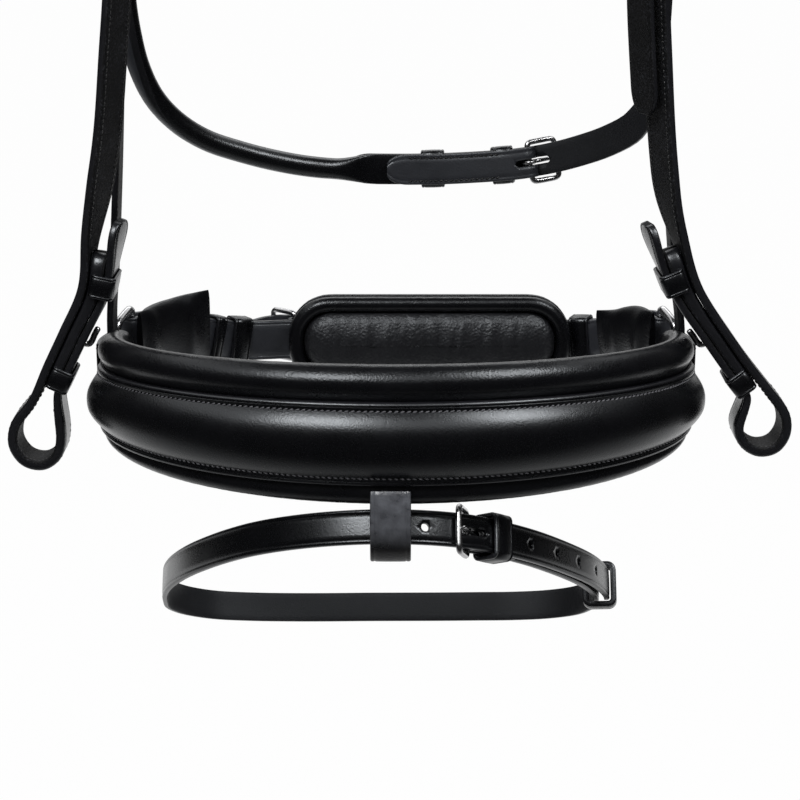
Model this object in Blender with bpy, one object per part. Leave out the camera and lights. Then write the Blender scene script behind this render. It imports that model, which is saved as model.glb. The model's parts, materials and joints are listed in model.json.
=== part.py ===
# English bridle with a wide padded crank noseband and a flash strap, at rest on a horse-sized form.
# Lengths are in millimetres until a mesh is made.
# +X is the right of the picture, -Y the horse's front, +Z up.
# The origin is the middle of the flat under the poll pad.
import math

import bmesh
import bpy
from mathutils import Vector

MM = 0.001
GAP = 0.3

# Strap sizes
CHEEK_WIDTH = 16.0
CHEEK_THICK = 3.4
HANGER_WIDTH = 14.0
HANGER_THICK = 2.6
CRANK_WIDTH = 18.0
CRANK_THICK = 2.4
FLASH_WIDTH = 13.0
FLASH_THICK = 2.4
THROAT_WIDTH = 13.0
THROAT_THICK = 2.4
ROLL_THICK = 9.0
KEEPER_THICK = 1.1

# Buckle sizes
WIRE = 1.2
TONGUE_WIRE = 0.9
TONGUE_GAP = 0.15
CHAPE_THICK = 1.6
BUCKLE_LONG = 10.0
BAR_ROOM = 0.3
BAR_DEPTH = -(GAP + CHAPE_THICK + BAR_ROOM + WIRE)

# Where the straps hang, seen from the side of the head
CHEEK_Y = -12.0
HANGER_Y = 7.5
THROAT_Y = 27.5

# Crown and browband
POLL_FLAT = 8.0
POLL_PAD_THICK = 8.0
CROWN_WIDTH = 40.0
CROWN_THICK = 2.9
ARCH = ((-95, -92), (-88, -56), (-64, -21), (-34, -5), (-POLL_FLAT, 0))
BROW_Z = -112.0
BROW_TALL = 20.0
BROW_REACH = 105.0
BROW_DIP = 12.0

# Cheekpieces, as points down the middle of the strap in X and Z
BUCKLE_Z = -198.0
CHEEK_LEFT = ((-105.5, -262), (-108.8, -297), (-112.0, -325), (-116.0, -347),
              (-120.2, -366), (-124.0, -387), (-131.8, -403.5), (-139.0, -418))
CHEEK_RIGHT = ((98.4, -262), (100.9, -300), (104.0, -333), (107.0, -352),
               (111.7, -367), (119.7, -387), (135.0, -410), (141.3, -418.5))
BILLET_END = {"left": ((-100.9, -249),), "right": ((93.6, -256), (92.8, -268), (93.4, -281), (96.6, -318))}
LOOP_LEFT = ((-146.0, -433), (-153.4, -443), (-154.6, -451), (-151.4, -457.2),
             (-147.2, -459.6), (-142.2, -459.6), (-137.4, -456), (-135.2, -449.5))
LOOP_RIGHT = ((149.3, -428.5), (156.4, -438.5), (157.2, -446), (154.4, -451.6),
              (150.6, -453.8), (145.6, -453.8), (140.6, -450.5), (138.0, -444.5))
BACKING_THICK = 2.4
BILLET_THICK = 3.0
LOOP_THICK = 3.9
BACKING_HIGH = CHEEK_THICK / 2 + GAP + KEEPER_THICK + 2 * GAP + BACKING_THICK
BILLET_GAP = 0.5
BILLET_OFF = BACKING_HIGH + BILLET_GAP + BILLET_THICK / 2

# Noseband
NOSE_HALF_WIDE = 118.5
NOSE_FRONT = 97.0
NOSE_END_Y = 16.0
NOSE_Z_FRONT = -424.0
NOSE_Z_SIDE = -433.0
NOSE_HALF_FRONT = 16.0
NOSE_HALF_SIDE = 12.0
NOSE_THICK = 2.6
NOSE_RAISE = 5.4
STITCH_IN = 3.2
HANGER_LOW_X = 116.2

# Crank rings and chin strap
RING_WIRE = 1.8
RING_FRONT = (-117.0, 24.5)
RING_REAR = (-112.5, 38.0)
RING_TALL = 25.0
RING_Z = -421.0
CRANK_Y = 86.0
CRANK_Z = -436.0
CHIN_BAR_X = -46.0
CHIN_LOOP_X = 11.0
CHIN_RISE = 6.3
CHIN_X = 15.0
CHIN_Z = -435.0
CHIN_WIDE = 126.0
CHIN_TALL = 42.0
PIPING = 3.3

# Flash strap
FLASH_Z = -458.5
FLASH_Y = -92.0
FLASH_SLOPE = 0.64
FLASH_PLAN = ((24, -86.5), (47, -67), (66, -42), (82, -13), (90, 20), (84, 46), (66, 58), (30, 61),
              (-10, 61), (-50, 61), (-82, 55), (-97, 38), (-98, 14), (-92, -14), (-76, -46),
              (-50, -76), (-22, -90), (2, -92.5))

# Throatlatch, as points down its inner face from the left splice to the right one
THROAT_BAR = (58, 62, -350.5)
THROAT = ((-104.2, THROAT_Y, -131), (-104.4, THROAT_Y, -147), (-106.6, THROAT_Y, -180),
          (-108.5, THROAT_Y, -230), (-107.5, 28, -288), (-100, 35, -318),
          (-86, 45, -335), (-66, 55, -345), (-36, 65, -353), (0, 69, -355), (30, 67.5, -354), THROAT_BAR,
          (80, 52, -343), (99, 36, -329), (106.5, 28.5, -300), (108.5, THROAT_Y, -230),
          (106.6, THROAT_Y, -180), (104.4, THROAT_Y, -147), (104.2, THROAT_Y, -131))


def material(name, colour, roughness, metallic):
    made = bpy.data.materials.new(name)
    made.use_nodes = True
    shader = made.node_tree.nodes["Principled BSDF"]
    shader.inputs["Base Color"].default_value = (*colour, 1)
    shader.inputs["Roughness"].default_value = roughness
    shader.inputs["Metallic"].default_value = metallic
    made.diffuse_color = (*colour, 1)
    return made


class Line:
    """A smooth line through a few points, with the strap's width direction at each."""

    def __init__(self, knots, side, closed=False, steps=16):
        points = [Vector(knot) for knot in knots]
        count = len(points)
        self.dense = []
        spans = count if closed else count - 1
        for index in range(spans):
            if closed:
                four = [points[(index + shift) % count] for shift in (-1, 0, 1, 2)]
            else:
                before = points[index - 1] if index else 2 * points[0] - points[1]
                after = points[index + 2] if index + 2 < count else 2 * points[-1] - points[-2]
                four = [before, points[index], points[index + 1], after]
            self.dense += [catmull(four, step / steps) for step in range(steps)]
        self.dense.append(points[0] if closed else points[-1])
        self.walked = [0.0]
        for one, two in zip(self.dense, self.dense[1:]):
            self.walked.append(self.walked[-1] + (two - one).length)
        self.length = self.walked[-1]
        self.closed = closed
        self.side = side

    def at(self, distance):
        if self.closed:
            distance %= self.length
        distance = min(max(distance, 0.0), self.length)
        low, high = 0, len(self.walked) - 1
        while high - low > 1:
            middle = (low + high) // 2
            if self.walked[middle] <= distance:
                low = middle
            else:
                high = middle
        span = self.walked[high] - self.walked[low]
        share = (distance - self.walked[low]) / span if span else 0.0
        return self.dense[low].lerp(self.dense[high], share)

    def frame(self, distance):
        """Point, forward, width and outward directions."""
        point = self.at(distance)
        ahead, behind = distance + 1.0, distance - 1.0
        if not self.closed:
            ahead, behind = min(ahead, self.length), max(behind, 0.0)
        forward = (self.at(ahead) - self.at(behind)).normalized()
        side = self.side(point) if callable(self.side) else Vector(self.side)
        side = (side - forward * side.dot(forward)).normalized()
        return point, forward, side, forward.cross(side).normalized()

    def near(self, target):
        """How far along the line the point nearest to the target lies."""
        target = Vector(target)
        best = min(range(len(self.dense)), key=lambda index: (self.dense[index] - target).length)
        return self.walked[best]


def catmull(four, share):
    """A point between the middle two of four points, on a line that never loops between uneven knots."""
    a, b, c, d = four
    first = max((b - a).length, 1e-6) ** 0.5
    second = first + max((c - b).length, 1e-6) ** 0.5
    third = second + max((d - c).length, 1e-6) ** 0.5
    now = first + (second - first) * share
    ab = a.lerp(b, now / first)
    bc = b.lerp(c, (now - first) / (second - first))
    cd = c.lerp(d, (now - second) / (third - second))
    early = ab.lerp(bc, now / second)
    late = bc.lerp(cd, (now - first) / (third - first))
    return early.lerp(late, (now - first) / (second - first))


def value(thing, where):
    return thing(where) if callable(thing) else thing


def ease(low, high, where):
    share = min(max((where - low) / (high - low), 0.0), 1.0)
    return share * share * (3 - 2 * share)


def plain_profile(width, low, high):
    half = width / 2
    return [(-half, low), (half, low), (half, high), (-half, high)]


def flat_profile(width, low, high, edge=0.5):
    half = width / 2
    edge = min(edge, (high - low) * 0.3, half * 0.5)
    return [(-half + edge, low), (half - edge, low), (half, low + edge), (half, high - edge),
            (half - edge, high), (-half + edge, high), (-half, high - edge), (-half, low + edge)]


def round_profile(width, low, high, count=12):
    """An ellipse that squares up as it gets flatter."""
    middle, tall = (low + high) / 2, (high - low) / 2
    power = 1.0 if tall * 2 > width * 0.7 else 0.55
    made = []
    for index in range(count):
        turn = 2 * math.pi * (index + 0.5) / count
        along, across = math.cos(turn), math.sin(turn)
        made.append((width / 2 * math.copysign(abs(along) ** power, along),
                     middle + tall * math.copysign(abs(across) ** power, across)))
    return made


def skin(name, rings, closed, look, centre=None):
    """One closed body through rings of points, with flat ends unless the rings close."""
    mesh = bpy.data.meshes.new(name)
    work = bmesh.new()
    lines = [[work.verts.new(point * MM) for point in ring] for ring in rings]
    count = len(rings[0])
    pairs = list(zip(lines, lines[1:]))
    if closed:
        pairs.append((lines[-1], lines[0]))
    for one, two in pairs:
        for index in range(count):
            after = (index + 1) % count
            work.faces.new((one[index], one[after], two[after], two[index]))
    if not closed:
        work.faces.new(lines[0][::-1])
        work.faces.new(lines[-1])
    bmesh.ops.recalc_face_normals(work, faces=work.faces)
    if work.calc_volume(signed=True) < 0:
        bmesh.ops.reverse_faces(work, faces=work.faces)
    work.to_mesh(mesh)
    work.free()
    mesh.materials.append(look)
    made = bpy.data.objects.new(name, mesh)
    bpy.context.scene.collection.objects.link(made)
    if centre is not None:
        move_origin(made, centre)
    return made


def move_origin(made, centre):
    centre = Vector(centre) * MM
    for vertex in made.data.vertices:
        vertex.co -= centre
    made.location = centre


def paces(line, start, end, pitch, tips=(0, 0)):
    """Distances from start to end, closer together at bends and rounded tips."""
    head, tail = tips
    places = [start + head * share for share in (0.0, 0.06, 0.3, 0.6, 1.0)] if head else [start]
    stop = end - tail
    while places[-1] < stop - 1e-6:
        here = places[-1]
        forward = line.frame(here)[1]
        for share in (1.0, 0.7, 0.5, 0.35, 0.25, 0.18, 0.13, 0.09):
            step = pitch * share
            turn = forward.angle(line.frame(min(here + step, end))[1])
            if turn < 0.42 and turn * step < 0.9:
                break
        places.append(here + max(step, 0.8))
    left = stop - places[-2] if len(places) > 1 else 0
    if len(places) > 2 and left < 0.3 * (places[-2] - places[-3]):
        places.pop()
    places[-1] = stop
    if tail:
        places += [end - tail * share for share in (0.6, 0.3, 0.06, 0.0)]
    return places


def strap(name, line, start, end, width, low, high, look, pitch=12.0, tips=(0, 0),
          profile=plain_profile, places=None):
    """A strap from start to end along the line, with its lower and upper face at low and high."""
    rings = []
    head, tail = tips
    for place in places or paces(line, start, end, pitch, tips):
        point, _, side, out = line.frame(place)
        wide = value(width, place)
        for length, reach in ((head, place - start), (tail, end - place)):
            if length and reach < length:
                wide *= 0.3 + 0.7 * math.sqrt(max(0.0, 1 - (1 - reach / length) ** 2))
        rings.append([point + side * across + out * up
                      for across, up in profile(wide, value(low, place), value(high, place))])
    return skin(name, rings, False, look)


def keeper(name, spot, low, high, half, long, look, thick=KEEPER_THICK):
    """A leather band around a stack of straps. The spot is a point and three directions."""
    point, forward, side, out = spot
    path = []
    corner = 0.1
    for across, up in ((half, high), (-half, high), (-half, low), (half, low)):
        sign_across = math.copysign(1, across)
        sign_up = 1 if up == high else -1
        centre = (across - sign_across * corner, up - sign_up * corner)
        first = math.atan2(sign_up, sign_across)
        for turn in (-math.pi / 4, math.pi / 4):
            angle = first + turn
            path.append((centre, (math.cos(angle), math.sin(angle))))
    rings = []
    for (across, up), (lead_across, lead_up) in path:
        ring = []
        end = long / 2
        for along, deep in ((-end, 0), (end, 0), (end - 0.3, thick), (-end + 0.3, thick)):
            reach = corner + GAP + deep
            ring.append(point + side * (across + lead_across * reach) + out * (up + lead_up * reach)
                        + forward * along)
        rings.append(ring)
    return skin(name, rings, True, look)


def wire_ring(name, corners, radius, bend, look, sides=8):
    """A closed wire through the corners, each corner rounded with the bend radius."""
    corners = [Vector(corner) for corner in corners]
    path = []
    for index, corner in enumerate(corners):
        back = (corners[index - 1] - corner).normalized()
        on = (corners[(index + 1) % len(corners)] - corner).normalized()
        for share in (0.0, 0.5, 1.0):
            one, two = corner + back * bend, corner + on * bend
            path.append(one.lerp(corner, share).lerp(corner.lerp(two, share), share))
    return tube(name, path, radius, look, closed=True, sides=sides)


def tube(name, path, radius, look, closed=False, sides=8):
    count = len(path)
    flat = (path[1] - path[0]).cross(path[2] - path[1])
    for index in range(2, count - 1):
        if flat.length > 0.02:
            break
        flat = (path[index] - path[index - 1]).cross(path[index + 1] - path[index])
    flat.normalize()
    rings = []
    for index, point in enumerate(path):
        ahead = path[(index + 1) % count] if closed else path[min(index + 1, count - 1)]
        behind = path[index - 1] if closed or index else path[0]
        forward = (ahead - behind).normalized()
        out = forward.cross(flat).normalized()
        size = value(radius, index / (count - 1))
        lean = 1.0
        if closed or 0 < index < count - 1:
            bend = (ahead - point).normalized().dot((point - behind).normalized())
            lean = 1 / max(0.75, math.sqrt((1 + bend) / 2))
        ring = []
        for step in range(sides):
            turn = 2 * math.pi * (step + 0.5) / sides
            ring.append(point + out * (size * lean * math.cos(turn)) + flat * (size * math.sin(turn)))
        rings.append(ring)
    return skin(name, rings, closed, look)


def cutter(name, spot, box):
    """A box cutter given by low and high values along forward, side and out from the spot."""
    point, forward, side, out = spot
    (f0, f1), (s0, s1), (n0, n1) = box
    rings = []
    for reach in (f0, f1):
        rings.append([point + forward * reach + side * across + out * up
                      for across, up in ((s0, n0), (s1, n0), (s1, n1), (s0, n1))])
    made = skin(name, rings, False, LOOKS["black"])
    made.hide_render = True
    made.display_type = "WIRE"
    return made


def drill(name, spot, radius, reach, sides=10, stretch=0.0):
    """A round cutter along the outward direction, drawn out along the strap when stretched."""
    point, forward, side, out = spot
    rings = []
    for up in reach:
        ring = []
        for step in range(sides):
            turn = 2 * math.pi * (step + 0.5) / sides
            along = radius * math.cos(turn)
            along += math.copysign(stretch / 2, along)
            ring.append(point + forward * along + side * (radius * math.sin(turn)) + out * up)
        rings.append(ring)
    made = skin(name, rings, False, LOOKS["black"])
    made.hide_render = True
    made.display_type = "WIRE"
    return made


def cut(body, *tools):
    for tool in tools:
        step = body.modifiers.new("cut_" + tool.name, "BOOLEAN")
        step.operation = "DIFFERENCE"
        step.solver = "EXACT"
        step.object = tool


def join(body, *others):
    for other in others:
        other.hide_render = True
        other.display_type = "WIRE"
        step = body.modifiers.new("join_" + other.name, "BOOLEAN")
        step.operation = "UNION"
        step.solver = "EXACT"
        step.object = other


def shifted(spot, forward_by=0.0, out_by=0.0):
    point, forward, side, out = spot
    return point + forward * forward_by + out * out_by, forward, side, out


def buckle(prefix, spot, strap_width, strap_thick):
    """A wire frame and its tongue. The spot lies above the bar on the inner face of the upper strap."""
    point, forward, side, out = spot
    half = strap_width / 2 + 0.7 + WIRE
    front = strap_thick + 0.25 + WIRE
    corners = []
    for along, across, up in ((0, -half, BAR_DEPTH), (0, half, BAR_DEPTH), (BUCKLE_LONG, half, front),
                              (BUCKLE_LONG, -half, front)):
        corners.append(point + forward * along + side * across + out * up)
    wire_ring(prefix + "_buckle", corners, WIRE, 1.6, LOOKS["steel"])
    lean = Vector((BUCKLE_LONG, front - BAR_DEPTH)).normalized()
    across = Vector((-lean.y, lean.x))
    reach = WIRE + TONGUE_GAP + TONGUE_WIRE
    first = math.atan2(across.y, across.x)
    path = []
    long = math.hypot(BUCKLE_LONG, front - BAR_DEPTH) + 1.8
    for share in (1.0, 0.94, 0.6, 0.25):
        flat = across * reach + lean * (long * share)
        path.append((flat.x, flat.y + BAR_DEPTH))
    for step in range(9):
        angle = first + math.radians(285) * step / 8
        path.append((reach * math.cos(angle), BAR_DEPTH + reach * math.sin(angle)))
    path = [point + forward * along + out * up for along, up in path]
    tongue = tube(prefix + "_tongue", path, lambda share: TONGUE_WIRE * (0.55 if share == 0 else 1.0),
                  LOOKS["steel"], sides=6)
    move_origin(tongue, point + out * BAR_DEPTH)
    return tongue


def tongue_slot(name, spot):
    """The slot in the folded strap end that lets the tongue through."""
    return cutter(name, spot, ((-5.5, 8.0), (-1.5, 1.5), (BAR_DEPTH - 6.0, 0.6)))


def tongue_hole(name, spot, thick):
    return drill(name, shifted(spot, 3.1), 1.5, (-1.0, thick + 1.0), stretch=7.0)


def straight(spot):
    """Places by distance back from the bar and height over the strap, on a straight strap."""
    point, forward, _, out = spot
    return lambda back, up: point - forward * back + out * up


def bent(line, place, sign):
    """The same on a curved line, with the bar at a place on it and back along it by the sign."""
    def at(back, up):
        point, _, _, out = line.frame(place + sign * back)
        return point + out * up

    return at


def fold_points(at, back, main_off, settle=14.0, count=7):
    """Middle of the folded end: in along the upper leaf, round the bar, and out as the lower leaf."""
    reach = WIRE + BAR_ROOM + CHAPE_THICK / 2
    leaf = -(GAP + CHAPE_THICK / 2)
    made = [at(back * share, leaf) for share in (1.0, 0.6, 0.3)]
    for step in range(count + 1):
        angle = math.pi / 2 - math.pi * step / count
        made.append(at(-reach * math.cos(angle), BAR_DEPTH + reach * math.sin(angle)))
    made.append(at(settle * 0.45, (BAR_DEPTH - reach) * 0.55 + main_off * 0.45))
    made.append(at(settle, main_off))
    return made


# Looks, read off the photograph
LOOKS = {
    "black": material("black_leather", (0.012, 0.012, 0.014), 0.32, 0.0),
    "soft": material("soft_leather", (0.014, 0.014, 0.016), 0.5, 0.0),
    "flesh": material("strap_leather", (0.016, 0.016, 0.018), 0.45, 0.0),
    "steel": material("bright_steel", (0.66, 0.66, 0.66), 0.2, 1.0),
}


# Crown of the bridle
def arch_line():
    knots = [(x, 0.0, z) for x, z in ARCH]
    knots += [(-x, 0.0, z) for x, z in reversed(ARCH)]
    return Line(knots, (0, 1, 0))


def poll_pad(arch):
    """Padded lining over the poll, flat underneath in the middle where the head bears."""
    start, end = arch.near((-86, 0, -52)), arch.near((86, 0, -52))
    left, right = arch.near((-POLL_FLAT, 0, 0)), arch.near((POLL_FLAT, 0, 0))
    places = [start + (left - start) * index / 14 for index in range(15)]
    places += [right + (end - right) * index / 14 for index in range(15)]

    def section(width, low, high):
        half = width / 2
        right = [(half - 3, low), (half - 0.6, low + 2.2), (half, 4.0), (half - 1.6, high - 1.2),
                 (half - 6, high)]
        return right + [(-across, up) for across, up in reversed(right)]

    strap("poll_pad", arch, start, end, 46.0, 0.0, POLL_PAD_THICK, LOOKS["soft"],
          profile=section, places=places)


def crown_base():
    return POLL_PAD_THICK + GAP + HANGER_THICK + GAP


def headpiece(arch):
    """The crown strap, split each side into a front cheek billet and a rear throat strap."""
    low = crown_base()
    high = low + CROWN_THICK
    crown = strap("headpiece", arch, arch.near((-89, 0, -60)), arch.near((89, 0, -60)), CROWN_WIDTH,
                  low, high, LOOKS["black"], pitch=6)
    for side, word in ((-1, "left"), (1, "right")):
        for tail in ("cheek", "throat"):
            middle = low + CROWN_THICK / 2
            knots = []
            for x, z, back in ((80, -40, 11.5), (87.0, -53, 14.0), (91.8, -72, 18.0)):
                point, _, _, out = arch.frame(arch.near((x * side, 0, z)))
                shift = back if tail == "throat" else -11.5
                knots.append(point + out * middle + Vector((0, shift, 0)))
            if tail == "cheek":
                x = buckle_x(side)
                knots += [Vector((side * 106.2, CHEEK_Y, BROW_Z + 4)),
                          Vector((side * (abs(x) + 2.2), CHEEK_Y, BUCKLE_Z + 36)),
                          Vector((x, CHEEK_Y, BUCKLE_Z + 14)),
                          Vector((x, CHEEK_Y, BUCKLE_Z - 20)),
                          Vector((x - side * 0.1, CHEEK_Y, BUCKLE_Z - 42))]
                knots += [Vector((x, CHEEK_Y, z)) for x, z in BILLET_END[word]]
                thick = FLASH_THICK
            else:
                knots += [Vector((side * 106.0, 25, -94)), Vector((side * 106.4, THROAT_Y, BROW_Z)),
                          Vector((side * 107.5, THROAT_Y, -146))]
                thick = THROAT_THICK
            turned = twist(side)
            line = Line(knots, (lambda point: turned(point) * -side) if tail == "cheek" else (0, 1, 0))
            wide = CHEEK_WIDTH if tail == "cheek" else THROAT_WIDTH + 1
            piece = strap(f"{word}_{tail}_end", line, 0, line.length, wide,
                          lambda place: -0.5 * blend_thick(thick, place),
                          lambda place: 0.5 * blend_thick(thick, place),
                          LOOKS["black"], tips=(0, 10 if tail == "cheek" else 7), pitch=14)
            if tail == "cheek":
                centre = beside(x, CHEEK_Y, BUCKLE_Z, -side)
                for index, drop in enumerate((-26, -38)):
                    cut(piece, drill(f"{word}_billet_hole_{index}", shifted(centre, drop), 1.9, (-3, 3)))
                cut(piece, drill(f"{word}_billet_pin_hole", shifted(centre, 3.1), 1.5, (-3, 3),
                                 stretch=7.0))
            join(crown, piece)
    return crown


def blend_thick(thick, place):
    return (CROWN_THICK - 0.1) + (thick - CROWN_THICK + 0.1) * ease(20, 60, place)


def buckle_x(side):
    """Middle of the cheek billet at the buckle, on the inner side of the cheekpiece."""
    return -101.4 if side < 0 else 94.8


def beside(x, y, z, side):
    """A spot on an upright strap, with its outward direction away from the horse."""
    return Vector((x, y, z)), Vector((0, 0, 1)), Vector((0, 1, 0)), Vector((side, 0, 0))


def browband():
    """Front band with a loop at each end round the three straps."""
    rear, front = THROAT_Y + 11.5, CHEEK_Y - 12.0
    outer, inner = 112.6, 98.8
    knots = []
    for x, y in ((-inner, front + 3), (-inner, 0), (-inner, rear - 3.5), (-(inner + 2), rear - 0.6),
                 (-(outer - 2), rear - 0.6), (-outer, rear - 3.5), (-outer, 0), (-outer, front)):
        knots.append((x, y, BROW_Z))
    for step in range(1, 12):
        turn = math.pi * step / 12
        dip = BROW_DIP * math.sin(turn) ** 2
        forward = front - BROW_REACH * math.sin(turn) ** 0.8
        knots.append((-(outer - 0.5) * math.cos(turn), forward, BROW_Z - dip))
    knots += [(-x, y, z) for x, y, z in reversed(knots[:8])]
    line = Line(knots, (0, 0, -1))
    middle = line.length / 2

    def tall(place):
        return BROW_TALL + 2.0 * (1 - ease(60, 150, abs(place - middle)))

    grid = steps(0, line.length, 64)
    strap("browband", line, 0, line.length, tall, -1.3, 1.3, LOOKS["black"], profile=flat_profile,
          places=grid)

    def cushion(width, low, high):
        half = width / 2
        right = [(half - 1.4, low), (half - 0.4, low + 0.5), (half, high - 1.2), (half - 1.5, high)]
        return right + [(-across, up) for across, up in reversed(right)]

    start, end = line.near((-103, -58, BROW_Z)), line.near((103, -58, BROW_Z))
    inside = [place for place in grid if start < place < end]
    strap("browband_lining", line, inside[0], inside[-1], lambda place: tall(place) + 3, 1.6, 5.6,
          LOOKS["soft"], profile=cushion, places=inside)


# Cheekpieces
def twist(side):
    """The strap turns its inner face a little to the front between the buckle and the keepers."""

    def direction(point):
        share = ease(-388, -340, point.z) * (1 - ease(-274, -243, point.z))
        angle = math.radians(27) * share
        return Vector((math.sin(angle), -side * math.cos(angle), 0))

    return direction


def cheekpiece(side, word):
    knots = [Vector((x, CHEEK_Y, z)) for x, z in (CHEEK_LEFT if side < 0 else CHEEK_RIGHT)]
    loop = [Vector((x, CHEEK_Y, z)) for x, z in (LOOP_LEFT if side < 0 else LOOP_RIGHT)]
    x = buckle_x(side)
    bar_spot = beside(x + side * FLASH_THICK / 2, CHEEK_Y, BUCKLE_Z, -side)
    main_off = -(GAP + CHAPE_THICK + GAP + CHEEK_THICK / 2)
    folded = fold_points(straight(bar_spot), 24, main_off)
    below = folded[-1] + Vector((0, 0, -20))
    # The main line runs down the strap, and its outward direction points to the horse.
    main = Line([folded[-1], below] + knots + loop[:1], twist(side))
    bottom = main.near(knots[-1])
    low_keeper = bottom + 3.0
    high_keeper = main.near(knots[-3]) - (3.5 if side < 0 else 7.0)
    first, tip = bottom + 9.0, high_keeper - (27.0 if side < 0 else 24.5)

    def rise(place):
        return 3.0 * ease(0.35, 1.0, (first - place) / (first - tip))

    climb = []
    for place in steps(first, tip, 10):
        point, _, _, inward = main.frame(place)
        climb.append(point + inward * (BILLET_OFF + rise(place)))
    line = Line(folded + [below] + knots + loop + climb, twist(side), steps=8)
    fold_end, loop_start, loop_end = line.near(below), line.near(loop[0]), line.near(climb[0])

    def half_thick(place):
        thick = CHAPE_THICK + (CHEEK_THICK - CHAPE_THICK) * ease(fold_end - 22, fold_end, place)
        thick += (LOOP_THICK - CHEEK_THICK) * ease(loop_start - 4, loop_start + 8, place)
        thick += (BILLET_THICK - LOOP_THICK) * ease(loop_end - 14, loop_end - 2, place)
        return thick / 2

    flat_a, flat_b = line.near(loop[4]), line.near(loop[5])
    places = paces(line, 0, flat_a, 13) + paces(line, flat_b, line.length, 12, (0, 10))
    body = strap(f"cheekpiece_{word}", line, 0, line.length, CHEEK_WIDTH, lambda p: -half_thick(p),
                 half_thick, LOOKS["black"], tips=(0, 10), profile=flat_profile, places=places)
    stud_place = (low_keeper + high_keeper) / 2 + 4
    stud = main.frame(stud_place)
    cut(body, tongue_slot(f"{word}_slot", bar_spot))
    cut(body, drill(f"{word}_stud_hole", stud, 1.9, (BACKING_HIGH + 0.2, BACKING_HIGH + 6.0),
                    stretch=1.0))
    strap(f"cheek_backing_{word}", main, high_keeper - 12, main.length - 9, CHEEK_WIDTH - 1,
          lambda p: BACKING_HIGH - BACKING_THICK + rise(p), lambda p: BACKING_HIGH + rise(p),
          LOOKS["black"], pitch=9, tips=(8, 0))
    for place, tag in ((high_keeper, "upper"), (low_keeper, "lower")):
        spare = 0.7 if tag == "upper" else 0.1
        half = CHEEK_WIDTH / 2 + (0.5 if tag == "upper" else 0.0)
        keeper(f"cheek_keeper_{tag}_{word}", main.frame(place),
               BACKING_HIGH - BACKING_THICK + rise(place) - spare,
               BILLET_OFF + BILLET_THICK / 2 + rise(place) + 0.4, half, 9.5, LOOKS["black"])
    hook_stud(f"hook_stud_{word}", stud, BACKING_HIGH + GAP + rise(stud_place))
    buckle(f"cheek_{word}", bar_spot, CHEEK_WIDTH, FLASH_THICK)
    for drop, tag in ((-14.5, "fixed"), (-30, "runner")):
        keeper(f"cheek_{tag}_keeper_{word}", shifted(bar_spot, drop),
               -(GAP + CHAPE_THICK + 0.8 + CHEEK_THICK), FLASH_THICK, CHEEK_WIDTH / 2, 8.0, LOOKS["black"])


def hook_stud(name, spot, low):
    """A bright hook that passes through the turned-up end and lies along its inner face."""
    point, forward, _, out = spot
    top = low + BILLET_THICK + 2.0
    path = [point + out * low, point + out * (low + 1.6), point + out * (top - 0.8),
            point + out * top - forward * 1.4, point + out * top - forward * 5.0,
            point + out * (top + 0.2) - forward * 8.5]
    tube(name, path, 1.25, LOOKS["steel"], sides=8)


def steps(start, end, count):
    return [start + (end - start) * index / (count - 1) for index in range(count)]


# Noseband
def nose_line():
    knots = []
    for step in range(-1, 22):
        turn = math.pi * step / 20
        if 0 <= step <= 20:
            x = -NOSE_HALF_WIDE * math.cos(turn)
            y = -NOSE_FRONT * math.sin(turn)
            z = NOSE_Z_SIDE + (NOSE_Z_FRONT - NOSE_Z_SIDE) * math.sin(turn)
            knots.append((x, y, z))
    end = (-(NOSE_HALF_WIDE - 0.3), NOSE_END_Y, NOSE_Z_SIDE + 2.0)
    return Line([end] + knots + [(-end[0], end[1], end[2])], (0, 0, 1))


def nose_half(line, place):
    front = max(0.0, -line.at(place).y / NOSE_FRONT)
    return NOSE_HALF_SIDE + (NOSE_HALF_FRONT - NOSE_HALF_SIDE) * front ** 0.8


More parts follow.
